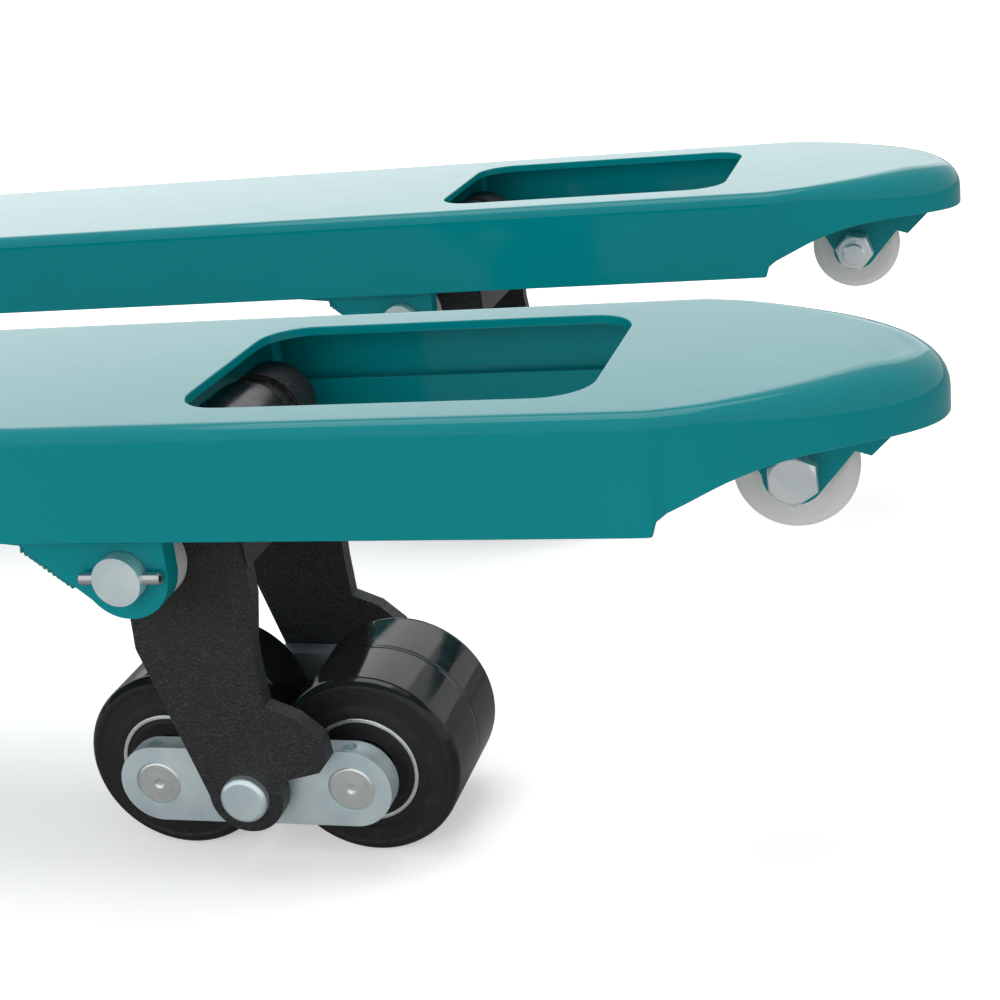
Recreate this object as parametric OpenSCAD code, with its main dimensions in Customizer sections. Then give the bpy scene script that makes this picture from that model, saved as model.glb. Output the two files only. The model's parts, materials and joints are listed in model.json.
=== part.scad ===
/* [Truck] */
// Length of the forks, from tip to heel plate
fork_l = 1150; // [1100:5:1170]
// Width over both forks
over_forks = 530; // [500:5:700]
// Height of the fork tops with the forks raised
raised_h = 205; // [203:1:207]
// Lift of the forks
lift = 120; // [116:1:120]

/* [Forks] */
// Width of one fork
fork_w = 160; // [158:1:166]
// Depth of the fork's folded channel
skirt_h = 45; // [42:1:46]
// Thickness of the fork's plate
plate_t = 4; // [3.5:0.5:4]
// Outer radius of the folded edges
bend_r = 6; // [5:0.5:8]
// Length of the roller opening in the fork's top
opening_l = 161; // [158:1:170]
// Width of the roller opening
opening_w = 112; // [100:1:118]
// Corner radius of the roller opening
opening_r = 20; // [10:1:30]
// Distance from the roller opening to the step before the nose
opening_end = 24.5; // [20:0.5:30]
// Length of the pressed nose, from the step to the tip
nose_l = 100; // [90:1:110]
// Height of the nose's lower edge above the skirt's lower edge
nose_rise = 22; // [18:1:25]
// How late the nose narrows along its length
nose_taper = 1.2; // [1.1:0.05:1.8]
// How blunt the nose is at its tip
nose_blunt = 0.5; // [0.45:0.05:0.8]
// Length of the nose's round tip
nose_tip_l = 42; // [35:1:60]
// Thickness of the stiffening webs inside the forks
web_t = 5; // [3:0.5:6]

/* [Roller frame] */
// Height of the frame's pivot pin below the fork's top
pivot_drop = 61.5; // [60:0.5:63]
// Distance from the step back to the pivot pin
pivot_back = 208.5; // [205:0.5:215]
// Diameter of the pivot pin and of the bogie's pins
pivot_d = 20; // [16:1:22]
// Distance of the bogie's pins in front of the pivot pin
bogie_ahead = 28.5; // [26:0.5:30]
// Thickness of the frame's arm plates
arm_t = 8; // [6:0.5:8]
// Distance from the fork's centre to the outer face of the arms
arm_out = 59; // [57:0.5:60]
// Sideways joggle of the arms
joggle = 7; // [5:0.5:9]
// Distance of the cross tube in front of the pivot pin
tube_ahead = 20; // [18:0.5:22]
// Height of the cross tube above the pivot pin
tube_up = 29; // [27:0.5:30]
// Diameter of the cross tube
tube_d = 30; // [26:1:32]
// Outer face of the welded ears, from the fork's centre
ear_out = 72; // [70:0.5:74]
// Thickness of the welded ears
ear_t = 10; // [8:0.5:10]
// Radius of the ears around the pivot pin
ear_r = 18.5; // [17:0.5:19]
// Diameter of the roll pins through the pivot pins
roll_pin_d = 5; // [3:0.5:6]

/* [Load rollers] */
// Diameter of a load roller
roller_d = 80; // [78:1:80]
// Width of a load roller
roller_w = 66; // [58:1:68]
// Distance between the two rollers of a bogie
roller_pitch = 85; // [83:0.5:88]
// Outer diameter of a roller bearing
bearing_od = 47; // [42:1:52]
// Width of a roller bearing
bearing_w = 14; // [10:1:16]
// Diameter of a roller axle
axle_d = 20; // [16:1:22]
// Thickness of the bogie's side plates
link_t = 10; // [8:0.5:10]
// Height of the bogie's side plates
link_h = 34; // [30:1:36]
// Outer face of the bogie's side plates, from the fork's centre
link_out = 50.5; // [50:0.5:50.5]
// Tilt of a bogie each way, in degrees
bogie_tilt = 8; // [4:1:8]

/* [Entry rollers] */
// Diameter of an entry roller
entry_d = 48; // [44:1:50]
// Width of an entry roller
entry_w = 16; // [12:1:24]
// Distance from the step to the entry roller's bolt
entry_ahead = 42.4; // [40:0.2:46]
// Depth of the entry roller's bolt below the fork's top
entry_drop = 47; // [45:0.5:48]
// Diameter of the entry roller's bolt
bolt_d = 12; // [8:1:12]
// Width across the flats of the bolt's head and nut
bolt_af = 18; // [16:1:19]

/* [Rods and rocker] */
// Diameter of the push rods
rod_d = 18; // [16:1:19]
// Swing of the rocker over the whole lift, in degrees
rocker_swing = 46; // [44:1:48]
// Slope of the rocker's lever with the forks raised, in degrees
rocker_dip = 12; // [11:1:14]
// Diameter of the rocker's cross shaft
rocker_d = 32; // [28:1:36]
// Diameter of the pins at the rocker's ends
rocker_pin_d = 16; // [12:1:18]
// Height of the pump seat's pin above the floor
seat_pin_z = 204; // [203:1:206]
// Distance of the pump seat's pin in front of the steering axis
seat_ahead = 86; // [84:1:90]
// Distance from the rocker's shaft to the face of the heel plate
heel_gap = 46.7; // [44:0.1:60]

/* [Heel and head] */
// Thickness of the heel's plates
heel_t = 6; // [5:0.5:8]
// Height of the heel box above the fork's tops
heel_h = 325; // [320:1:340]
// Depth of the heel box along the truck
heel_depth = 140; // [135:1:145]
// Width of the head arm over the pump
head_w = 80; // [72:1:84]
// Depth of the head arm over the pump
head_h = 52; // [48:1:60]
// Diameter of the piston rod
piston_d = 32; // [28:1:36]

/* [Pump] */
// Diameter of the pump's neck, which turns in the seat ring
neck_d = 64; // [60:1:66]
// Diameter of the pump's oil tank
tank_d = 112; // [106:1:118]
// Height of the tank's floor above the floor
tank_z = 232; // [230:1:236]
// Height of the tank
tank_h = 66; // [60:1:70]
// Height of the pump cylinder's top above the floor
cylinder_z = 352; // [345:1:356]
// Outer diameter of the pump cylinder
cylinder_d = 56; // [50:1:60]
// Diameter of the pumping plunger
plunger_d = 18; // [16:1:20]
// Depth of the plunger's block below the tank's floor
plunger_block = 36; // [34:1:38]
// Mean diameter of the plunger's spring
spring_d = 30; // [27:1:31]
// Thickness of the spring's wire
spring_wire = 4; // [3:0.5:4.5]
// Number of the spring's curls
spring_curls = 6; // [5:1:7]

/* [Steering wheels] */
// Diameter of a steering wheel
wheel_d = 180; // [178:1:180]
// Width of a steering wheel
wheel_w = 50; // [40:1:50]
// Distance from the truck's middle to the inner side of a wheel
wheel_in = 43; // [42:0.5:46]
// Thickness of the wheel's tyre
tyre_t = 22; // [15:1:25]
// Diameter of the steering axle
steer_axle_d = 20; // [18:1:24]

/* [Tiller] */
// Height of the tiller's top above the floor
tiller_top = 1220; // [1150:5:1250]
// Height of the tiller's pivot above the floor
tiller_z = 330; // [328:1:332]
// Distance from the steering axis back to the tiller's pivot
tiller_back = 62; // [61:0.5:64]
// Tilt of the tiller, in degrees
tiller_tilt = 75; // [60:1:75]
// Distance from the tiller's pivot to its pump roller
crank_l = 26; // [25:0.5:27]
// Diameter of the tiller's tube
tiller_d = 34; // [30:1:36]
// Diameter of the pump roller
crank_roller_d = 28; // [26:1:28]
// Width of the handle's loop between tube centres
loop_w = 190; // [170:1:230]
// Height of the handle's loop between tube centres
loop_h = 170; // [150:1:200]
// Diameter of the loop's tube
loop_d = 27; // [25:1:30]
// Corner radius of the loop, to the tube's centre
loop_r = 45; // [35:1:60]
// Swing of the control lever each way, in degrees
lever_swing = 10; // [6:1:12]
// Diameter of the release rod inside the tiller
release_d = 6; // [5:0.5:7]
// Offset of the release rod behind the tiller's axis
release_back = 9; // [8:0.5:9.5]
// Wall of the tiller's tube
tiller_wall = 3; // [2:0.5:4]

/* [Clearances] */
// Radial play of a shaft in its bore
fit = 0.05; // [0.03:0.01:0.08]
// Gap between faces that move past each other
gap = 0.3; // [0.25:0.05:0.4]

/* [Hidden] */
$fn = 48;
teal = [0, 0.51, 0.53];
black = [0.06, 0.06, 0.065];
zinc = [0.78, 0.8, 0.83];
steel = [0.7, 0.7, 0.72];
white = [0.92, 0.91, 0.87];
grey = [0.3, 0.31, 0.32];

// Places along the truck, from its middle
crank_start = tiller_tilt / 2;
crank_back = crank_l * cos(crank_start);
plunger_behind = (crank_back + crank_l) / 2;
block_r = spring_d / 2 + spring_wire;
tail_l = max(wheel_d / 2, tiller_back + crank_back + crank_roller_d / 2, tiller_back + plunger_behind + block_r);
lever_l = lift / (sin(rocker_dip) + sin(rocker_swing - rocker_dip));
overall_l = tail_l + seat_ahead + lever_l * cos(rocker_dip) + heel_gap + fork_l;
steer_x = -overall_l / 2 + tail_l;
rocker_x = steer_x + seat_ahead + lever_l * cos(rocker_dip);
heel_x = rocker_x + heel_gap;
tip_x = heel_x + fork_l;
step_x = tip_x - nose_l;
pivot_x = step_x - pivot_back;
entry_x = step_x + entry_ahead;
fork_y = (over_forks - fork_w) / 2;

// Heights with the forks raised
skirt_z = raised_h - skirt_h;
under_z = raised_h - plate_t;
pivot_z = raised_h - pivot_drop;
entry_z = raised_h - entry_drop;
roller_r = roller_d / 2;

// Swing of the roller frame, from the height of its pivot pin raised and lowered
arm_l = norm([bogie_ahead, pivot_z - roller_r]);
arm_down = asin((pivot_z - roller_r) / arm_l);
arm_up = asin((roller_r - pivot_z + lift) / arm_l);
frame_swing = arm_down + arm_up;
bogie_x = pivot_x + bogie_ahead;

// Travel of the push rods
tube_r = norm([tube_ahead, tube_up]);
tube_a = atan2(tube_up, tube_ahead);
rod_travel = tube_r * (cos(tube_a) - cos(tube_a + frame_swing));
rod_z = pivot_z + tube_up;
tube_x = pivot_x + tube_ahead;

// Rocker: a lever to the pump's seat and two cranks to the push rods
rocker_z = seat_pin_z + lever_l * sin(rocker_dip);
crank_h = rocker_z - rod_z;
crank_a = atan((rod_travel / crank_h - sin(rocker_swing)) / (1 - cos(rocker_swing)));
crank_r = crank_h / cos(crank_a);
rod_end_x = rocker_x + crank_r * sin(crank_a);
rod_l = tube_x - rod_end_x;

// Room that the push rod's eye needs while the rocker's pin swings past it
function tube_rise(s) = tube_r * (sin(tube_a + s * frame_swing) - sin(tube_a));
function pin_rise(s) = crank_r * (cos(crank_a) - cos(crank_a - s * rocker_swing));
function tube_run(s) = tube_r * (cos(tube_a + s * frame_swing) - cos(tube_a));
function pin_run(s) = crank_r * (sin(crank_a - s * rocker_swing) - sin(crank_a));
rod_tilt = asin((pin_rise(1) - tube_rise(1)) / rod_l);
slips = [for (s = [0:0.05:1]) pin_rise(s) - tube_rise(s) - rod_l * sin(s * rod_tilt)];
runs = [for (s = [0:0.05:1]) pin_run(s) - tube_run(s)];
slot_down = max(0, -min(slips)) + 1;
slot_up = max(0, max(slips)) + 1;
slot_run = max(max(runs), -min(runs)) + 1;
seat_run = lever_l * (cos(rocker_dip) - cos(rocker_swing - rocker_dip));
rocker_slips = [for (s = [0:0.05:1])
    s * lift - lever_l * (sin(rocker_dip) + sin(s * rocker_swing - rocker_dip))];
seat_slip = max(max(rocker_slips), -min(rocker_slips)) + 1;

// Head over the pump
head_z = raised_h + heel_h;
head_under_z = head_z - head_h;
box_x = heel_x - heel_depth;

// Steering unit
axle_z = wheel_d / 2;
tiller_x = steer_x - tiller_back;
plunger_travel = 2 * crank_l * sin(crank_start);
crank_x = tiller_x - crank_back;
crank_z = tiller_z + crank_l * sin(crank_start);
plunger_x = tiller_x - plunger_behind;
plunger_back = steer_x - plunger_x;
plunger_play = crank_roller_d / 2 + 0.9;
plunger_top = crank_z - plunger_play;
plunger_cap_h = 7;
tank_top = tank_z + tank_h;
loop_z = tiller_top - loop_d / 2 - loop_h / 2;
loop_low = loop_z - loop_h / 2;
lever_z = loop_low + loop_d / 2 + 16;
tiller_lug_y = 27;
tiller_lug_t = 9;
tiller_lug_r = 15;
tiller_pin_d = 14;
crank_roller_w = 12;
crank_pin_d = 10;

// Shapes that repeat
module along_y(x, z, r, y0, y1) {
    translate([x, y0, z])
        rotate([-90, 0, 0])
            cylinder(r = r, h = y1 - y0);
}
module side_plate(y0, t) {
    translate([0, y0 + t, 0])
        rotate([90, 0, 0])
            linear_extrude(t)
                children();
}
module both_sides() {
    children();
    mirror([0, 1, 0])
        children();
}
module at_fork(side) {
    translate([0, side * fork_y, 0])
        children();
}
module tube_y(x, z, r_out, r_in, y0, y1) {
    difference() {
        along_y(x, z, r_out, y0, y1);
        along_y(x, z, r_in, y0 - 1, y1 + 1);
    }
}
module hexagon(x, z, af, y0, y1) {
    translate([x, y0, z])
        rotate([-90, 30, 0])
            cylinder(d = af / cos(30), h = y1 - y0, $fn = 6);
}

// Folded channel, as a cross-section with its top at height 0
module channel_2d(w, h, r) {
    translate([-w / 2, -h])
        square([w, h - r]);
    translate([-w / 2 + r, -h])
        square([w - 2 * r, h]);
    for (s = [-1, 1])
        translate([s * (w / 2 - r), -r])
            circle(r);
}
module along_x(x0, x1) {
    translate([x0, 0, 0])
        rotate([90, 0, 90])
            linear_extrude(x1 - x0)
                children();
}
module rounded_slab(l, w, r, h) {
    linear_extrude(h) {
        square([l - 2 * r, w], center = true);
        square([l, w - 2 * r], center = true);
        for (i = [-1, 1], j = [-1, 1])
            translate([i * (l / 2 - r), j * (w / 2 - r)])
                circle(r);
    }
}

// Closed body through a row of rings that have the same number of points
module loft(rings) {
    n = len(rings[0]);
    m = len(rings);
    sides = [for (i = [0:m - 2], j = [0:n - 1]) each [
        [i * n + j, i * n + (j + 1) % n, (i + 1) * n + j],
        [i * n + (j + 1) % n, (i + 1) * n + (j + 1) % n, (i + 1) * n + j]
    ]];
    first = [[for (j = [n - 1:-1:0]) j]];
    last = [[for (j = [0:n - 1]) (m - 1) * n + j]];
    polyhedron([for (ring = rings) each ring], concat(sides, first, last));
}

// Forks
opening_x = step_x - opening_end - opening_l / 2;
module fork(side) {
    color(teal)
        at_fork(side)
            difference() {
                translate([0, 0, raised_h])
                    along_x(heel_x, step_x)
                        channel_2d(fork_w, skirt_h, bend_r);
                translate([0, 0, under_z])
                    along_x(heel_x - 1, step_x + 1)
                        channel_2d(fork_w - 2 * plate_t, skirt_h, bend_r - plate_t);
                translate([opening_x, 0, under_z - 1])
                    rounded_slab(opening_l, opening_w, opening_r, plate_t + 2);
            }
}

// Nose: it narrows along its sides, ends in a round tip and its lower edge rises
nose_side_l = nose_l - nose_tip_l;
nose_reach = (nose_l - plate_t) / nose_l;
nose_steps = 22;
corner_steps = 5;
function nose_x(i) = i <= 8
    ? nose_side_l * i / 8
    : nose_side_l + nose_tip_l * sin(88 * (i - 8) / (nose_steps - 8));
function nose_half(x) = fork_w / 2 * pow(1 - pow(x / nose_l, nose_taper), nose_blunt);
function nose_low(x) = skirt_z + plate_t + (nose_rise - plate_t)
    * (x < nose_side_l ? 1 - pow(1 - x / nose_side_l, 2.1) : 1)
    - (x > nose_side_l ? 3.5 * pow((x - nose_side_l) / nose_tip_l, 2) : 0);
function nose_top(x) = raised_h - (x > nose_side_l ? 9 * pow((x - nose_side_l) / nose_tip_l, 3) : 0);
function corner(side, half, top, r) = [for (k = [0:corner_steps])
    let (a = side > 0 ? 90 - 90 * k / corner_steps : 180 - 90 * k / corner_steps)
    [side * (half - r) + r * cos(a), top - r + r * sin(a)]];
function nose_ring(x, half, low, top, r) = [for (p = concat(
    [[-half, low]], corner(-1, half, top, r), corner(1, half, top, r), [[half, low]]
)) [step_x + x, p[0], p[1]]];
module nose(side) {
    outer = [for (i = [0:nose_steps]) let (x = nose_x(i), h = max(nose_half(x), bend_r + 1))
        nose_ring(x, h, nose_low(x), nose_top(x), bend_r)];
    inner = [for (i = [0:nose_steps]) let (x = nose_x(i), h = max(nose_half(x) - plate_t, plate_t))
        nose_ring(i == 0 ? -1 : x * nose_reach, h, skirt_z - 5, nose_top(x) - plate_t, bend_r - plate_t)];
    color(teal)
        at_fork(side)
            difference() {
                loft(outer);
                loft(inner);
            }
}

// Stiffening webs beside the push rod, and strips along the feet of the fork's sides
web_x1 = pivot_x - tube_r - tube_d;
web_start = 60;
web_x0 = heel_x + web_start;
web_room = 14;
web_w = 2 * (rod_d / 2 + web_room);
web_low = 6;
strip_h = 17;
strip_end = 10;
module web(side) {
    color(teal)
        at_fork(side)
            both_sides() {
                translate([web_x0, web_w / 2, skirt_z + web_low])
                    cube([web_x1 - web_x0, web_t, under_z - skirt_z - web_low]);
                translate([web_x0, ear_out, skirt_z])
                    cube([step_x - strip_end - web_x0, fork_w / 2 - plate_t - ear_out, strip_h]);
            }
}

// Ears welded inside the channel, which hold the pivot pin
ear_in = ear_out - ear_t;
module ear_outline() {
    translate([pivot_x, pivot_z])
        circle(ear_r);
    polygon([
        [pivot_x + ear_r, pivot_z],
        [pivot_x + ear_r, under_z],
        [pivot_x - 60, under_z],
        [pivot_x - 60, skirt_z - 2],
        [pivot_x - 42, skirt_z - 4],
        [pivot_x - ear_r * cos(35), pivot_z - ear_r * sin(35)],
        [pivot_x, pivot_z]
    ]);
}
module ears(side) {
    color(teal)
        at_fork(side)
            difference() {
                both_sides()
                    side_plate(ear_in, ear_t)
                        ear_outline();
                along_y(pivot_x, pivot_z, pivot_d / 2 + fit, -ear_out - 1, ear_out + 1);
            }
}
pin_half = fork_w / 2 - 1;
module pivot_pins() {
    color(zinc)
        for (side = [-1, 1])
            at_fork(side)
                difference() {
                    along_y(pivot_x, pivot_z, pivot_d / 2, -pin_half, pin_half);
                    for (s = [-1, 1])
                        translate([pivot_x, s * roll_pin_y, pivot_z])
                            rotate([0, 90, 0])
                                cylinder(d = roll_pin_d, h = pivot_d + 2, center = true);
                }
}
roll_pin_y = ear_out + gap + roll_pin_d / 2;
roll_pin_l = 34;
module roll_pins() {
    color(steel)
        for (side = [-1, 1], s = [-1, 1])
            translate([pivot_x, side * fork_y + s * roll_pin_y, pivot_z])
                rotate([0, 90, 0])
                    cylinder(d = roll_pin_d, h = roll_pin_l, center = true);
}

// Roller frame: two joggled arms, the cross tube and a cross plate
arm_head_r = 23;
tube_ring_r = tube_d / 2 + 3;
lobe_r = 16;
hook_x = 66;
hook_z = 27;
arm_back = 50;
arm_ahead = 90;
arm_in = arm_out - arm_t;
upper_out = arm_out - joggle;
module arm_outline() {
    circle(arm_head_r);
    translate([tube_ahead, tube_up])
        circle(tube_ring_r);
    translate([bogie_ahead, roller_r - pivot_z])
        circle(lobe_r);
    polygon([
        [-arm_head_r * cos(60), -arm_head_r * sin(60)],
        [-8, -38],
        [bogie_ahead - lobe_r, roller_r - pivot_z],
        [bogie_ahead + 19, roller_r - pivot_z + 8],
        [hook_x - 4, roller_r - pivot_z + hook_z - 15],
        [hook_x, roller_r - pivot_z + hook_z - 10],
        [hook_x - 1, roller_r - pivot_z + hook_z],
        [55, roller_r - pivot_z + hook_z + 9],
        [43, roller_r - pivot_z + hook_z + 14],
        [42, -45],
        [42, -8],
        [tube_ahead + tube_ring_r, tube_up],
        [0, 0]
    ]);
}
bush_r = pivot_d / 2 + 3;
bush_flange_r = pivot_d / 2 + 8;
joggle_top = bush_flange_r + 1;
joggle_low = joggle_top + 18;
module arm_profile() {
    polygon([
        [upper_out - arm_t, tube_r + 30],
        [upper_out, tube_r + 30],
        [upper_out, -joggle_top],
        [arm_out, -joggle_low],
        [arm_out, -pivot_z],
        [arm_in, -pivot_z],
        [arm_in, -joggle_low],
        [upper_out - arm_t, -joggle_top]
    ]);
}
cross_plate_t = 6;
module roller_frame(side) {
    color(black)
        at_fork(side)
            difference() {
                union() {
                    both_sides()
                        intersection() {
                            translate([pivot_x, 0, pivot_z])
                                side_plate(upper_out - arm_t - 1, arm_t + joggle + 2)
                                    arm_outline();
                            translate([0, 0, pivot_z])
                                along_x(pivot_x - arm_back, pivot_x + arm_ahead)
                                    arm_profile();
                        }
                    along_y(tube_x, rod_z, tube_d / 2, -upper_out, upper_out);
                    both_sides()
                        along_y(tube_x, rod_z, tube_ring_r, upper_out - arm_t - 8, upper_out + 4);
                    translate([pivot_x + 36, 1 - upper_out, pivot_z - 6])
                        cube([cross_plate_t, 2 * upper_out - 2, skirt_z - pivot_z + 6]);
                }
                along_y(pivot_x, pivot_z, bush_r, -ear_in, ear_in);
                along_y(tube_x, rod_z, tube_d / 2 - 4, -ear_in, ear_in);
                along_y(bogie_x, roller_r, pivot_d / 2 + fit, -arm_out - 1, arm_out + 1);
            }
}

// Flanged nylon bushes of the pivot pin, pressed into the arms
module frame_bushes(side) {
    color(white)
        at_fork(side)
            both_sides()
                difference() {
                    union() {
                        along_y(pivot_x, pivot_z, bush_r, upper_out - arm_t, upper_out);
                        along_y(pivot_x, pivot_z, bush_flange_r, upper_out, ear_in - gap);
                    }
                    along_y(pivot_x, pivot_z, pivot_d / 2 + fit, upper_out - arm_t - 1, ear_in);
                }
}

// Bogie: two side plates on pins in the arms, with a roller axle at each end
link_in = link_out - link_t;
pin_chamfer = 1.5;
module bogie_pins(side) {
    color(zinc)
        at_fork(side)
            both_sides() {
                along_y(bogie_x, roller_r, pivot_d / 2, link_in + gap, arm_out + 3);
                translate([bogie_x, arm_out + 3, roller_r])
                    rotate([-90, 0, 0])
                        cylinder(r1 = pivot_d / 2, r2 = pivot_d / 2 - pin_chamfer, h = pin_chamfer);
            }
}
set_pin_d = 6;
module bogie_plates(side) {
    color(zinc)
        at_fork(side)
            difference() {
                both_sides()
                    side_plate(link_in, link_t)
                        translate([bogie_x, roller_r]) {
                            square([roller_pitch, link_h], center = true);
                            for (s = [-1, 1])
                                translate([s * roller_pitch / 2, 0])
                                    circle(link_h / 2);
                        }
                along_y(bogie_x, roller_r, pivot_d / 2 + fit, -link_out - 1, link_out + 1);
                for (s = [-1, 1]) {
                    along_y(bogie_x + s * roller_pitch / 2, roller_r, axle_d / 2, -link_out - 1, link_out + 1);
                    for (t = [-1, 1])
                        translate([bogie_x + s * roller_pitch / 2, t * (link_out - link_t / 2), roller_r])
                            cylinder(d = set_pin_d, h = link_h);
                }
            }
}
module axles(side) {
    color(steel)
        at_fork(side)
            for (s = [-1, 1]) {
                along_y(bogie_x + s * roller_pitch / 2, roller_r, axle_d / 2, -link_out, link_out);
                for (t = [-1, 1])
                    translate([bogie_x + s * roller_pitch / 2, t * (link_out - link_t / 2), roller_r])
                        cylinder(d = set_pin_d, h = link_h / 2 - 1.5);
            }
}

// Load roller: a solid tread and core with a ball bearing in each end
bearing_proud = 2;
tread_edge = 3;
module load_roller(side, s) {
    color(black)
        translate([bogie_x + s * roller_pitch / 2, side * fork_y, roller_r])
            rotate([-90, 0, 0])
                rotate_extrude($fn = 96)
                    polygon([
                        [axle_d / 2 + 4, -roller_w / 2 + bearing_w],
                        [bearing_od / 2, -roller_w / 2 + bearing_w],
                        [bearing_od / 2, -roller_w / 2 - bearing_proud / 2],
                        [bearing_od / 2 + 4, -roller_w / 2 - bearing_proud / 2],
                        [bearing_od / 2 + 5, -roller_w / 2],
                        [roller_r - tread_edge, -roller_w / 2],
                        [roller_r, -roller_w / 2 + tread_edge],
                        [roller_r, roller_w / 2 - tread_edge],
                        [roller_r - tread_edge, roller_w / 2],
                        [bearing_od / 2 + 5, roller_w / 2],
                        [bearing_od / 2 + 4, roller_w / 2 + bearing_proud / 2],
                        [bearing_od / 2, roller_w / 2 + bearing_proud / 2],
                        [bearing_od / 2, roller_w / 2 - bearing_w],
                        [axle_d / 2 + 4, roller_w / 2 - bearing_w]
                    ]);
}
module bearings(side, s) {
    color(steel)
        translate([bogie_x + s * roller_pitch / 2, side * fork_y, roller_r])
            both_sides() {
                tube_y(0, 0, bearing_od / 2, axle_d / 2 + fit, roller_w / 2 - bearing_w, roller_w / 2 + bearing_proud);
                tube_y(0, 0, axle_d / 2 + 4, axle_d / 2 + fit, roller_w / 2 + bearing_proud, link_in - gap);
            }
}

// Entry roller, its bracket under the nose, its bolt and its nut
bracket_t = 4;
bracket_in = entry_w / 2 + gap;
bracket_out = bracket_in + bracket_t;
bracket_tab = 12;
bracket_back = 20;
bracket_ahead = 44;
module bracket_outline() {
    circle(bracket_tab);
    polygon([
        [-bracket_tab, 0],
        [bracket_tab * cos(35), -bracket_tab * sin(35)],
        [23, 9],
        [29, 7],
        [bracket_ahead, 22],
        [bracket_ahead, under_z - entry_z - 1],
        [-bracket_back, under_z - entry_z - 1],
        [-bracket_back, 14]
    ]);
}
module entry_bracket(side) {
    color(teal)
        at_fork(side)
            difference() {
                union() {
                    both_sides()
                        translate([entry_x, 0, entry_z])
                            side_plate(bracket_in, bracket_t)
                                bracket_outline();
                    translate([entry_x - bracket_back, -bracket_out, under_z - bracket_t])
                        cube([bracket_back + bracket_ahead, 2 * bracket_out, bracket_t]);
                }
                along_y(entry_x, entry_z, bolt_d / 2 + fit, -bracket_out - 1, bracket_out + 1);
                translate([0, 0, nose_top((entry_ahead + bracket_ahead) / nose_reach) - plate_t - gap])
                    along_x(step_x + nose_side_l * nose_reach, tip_x)
                        translate([-20, 0])
                            square([40, 10]);
            }
}
module entry_roller(side) {
    color(white)
        translate([entry_x, side * fork_y, entry_z])
            rotate([-90, 0, 0])
                rotate_extrude($fn = 72)
                    polygon([
                        [bolt_d / 2 + fit, -entry_w / 2],
                        [entry_d / 2 - 2.5, -entry_w / 2],
                        [entry_d / 2, -entry_w / 2 + 2.5],
                        [entry_d / 2, entry_w / 2 - 2.5],
                        [entry_d / 2 - 2.5, entry_w / 2],
                        [bolt_d / 2 + fit, entry_w / 2]
                    ]);
}
head_thick = 7.5;
nut_thick = 11;
bolt_tail = 5;
module entry_bolts() {
    color(zinc)
        for (side = [-1, 1])
            translate([0, side * fork_y, 0]) {
                along_y(entry_x, entry_z, bolt_d / 2,
                    side > 0 ? -bracket_out - nut_thick - bolt_tail : -bracket_out,
                    side > 0 ? bracket_out : bracket_out + nut_thick + bolt_tail);
                hexagon(entry_x, entry_z, bolt_af,
                    side > 0 ? bracket_out : -bracket_out - head_thick,
                    side > 0 ? bracket_out + head_thick : -bracket_out);
            }
}
module entry_nuts() {
    color(zinc)
        for (side = [-1, 1])
            translate([0, side * fork_y, 0])
                difference() {
                    hexagon(entry_x, entry_z, bolt_af,
                        side > 0 ? -bracket_out - nut_thick : bracket_out,
                        side > 0 ? -bracket_out : bracket_out + nut_thick);
                    along_y(entry_x, entry_z, bolt_d / 2, -50, 50);
                }
}

// Push rod: an eye on the frame's cross tube and a slotted fork on the rocker's pin
eye_w = 44;
eye_r = tube_d / 2 + 4.5;
rod_fork_w = 12;
rod_slot_w = rocker_pin_d + 2 * slot_run;
rod_end_half = rod_slot_w / 2 + 6;
module push_rod(side) {
    color(black)
        at_fork(side)
            difference() {
                union() {
                    along_y(tube_x, rod_z, eye_r, -eye_w / 2, eye_w / 2);
                    translate([rod_end_x + rod_neck, 0, rod_z])
                        rotate([0, 90, 0])
                            cylinder(d = rod_d, h = rod_l - rod_neck - tube_d / 2);
                    translate([rod_end_x, -rod_fork_w / 2, rod_z - rod_neck_h / 2])
                        cube([rod_neck + rod_neck_h, rod_fork_w, rod_neck_h]);
                    translate([rod_end_x - rod_end_half, -rod_fork_w / 2, rod_z - rod_low])
                        cube([2 * rod_end_half, rod_fork_w, rod_low + rod_high]);
                }
                along_y(tube_x, rod_z, tube_d / 2 + fit, -eye_w, eye_w);
                along_y(rod_end_x, rod_z + slot_up, rod_slot_w / 2, -rod_fork_w, rod_fork_w);
                along_y(rod_end_x, rod_z - slot_down, rod_slot_w / 2, -rod_fork_w, rod_fork_w);
                translate([rod_end_x - rod_slot_w / 2, -rod_fork_w, rod_z - slot_down])
                    cube([rod_slot_w, 2 * rod_fork_w, slot_up + slot_down]);
            }
}
rod_high = slot_up + rod_slot_w / 2 + 6;
rod_low = slot_down + rod_slot_w / 2 + 6;

// Rocker: a cross shaft with two lever plates to the seat and a forked crank at each end
crank_t = 8;
crank_gap = rod_fork_w / 2 + gap;
lever_y = 16;
lever_t = 10;
crank_end_r = rocker_pin_d / 2 + 8;
rocker_boss_r = rocker_d / 2 + 7;
rod_neck = rocker_boss_r + slot_run + rod_d;
rod_neck_h = 12;
module bar_outline(x1, z1, r1, x2, z2, r2) {
    d = norm([x2 - x1, z2 - z1]);
    a = atan2(z2 - z1, x2 - x1);
    b = acos((r1 - r2) / d);
    translate([x1, z1])
        circle(r1);
    translate([x2, z2])
        circle(r2);
    polygon([
        [x1 + r1 * cos(a + b), z1 + r1 * sin(a + b)],
        [x1 + r1 * cos(a - b), z1 + r1 * sin(a - b)],
        [x2 + r2 * cos(a - b), z2 + r2 * sin(a - b)],
        [x2 + r2 * cos(a + b), z2 + r2 * sin(a + b)]
    ]);
}
seat_pin_x = steer_x + seat_ahead;
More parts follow.
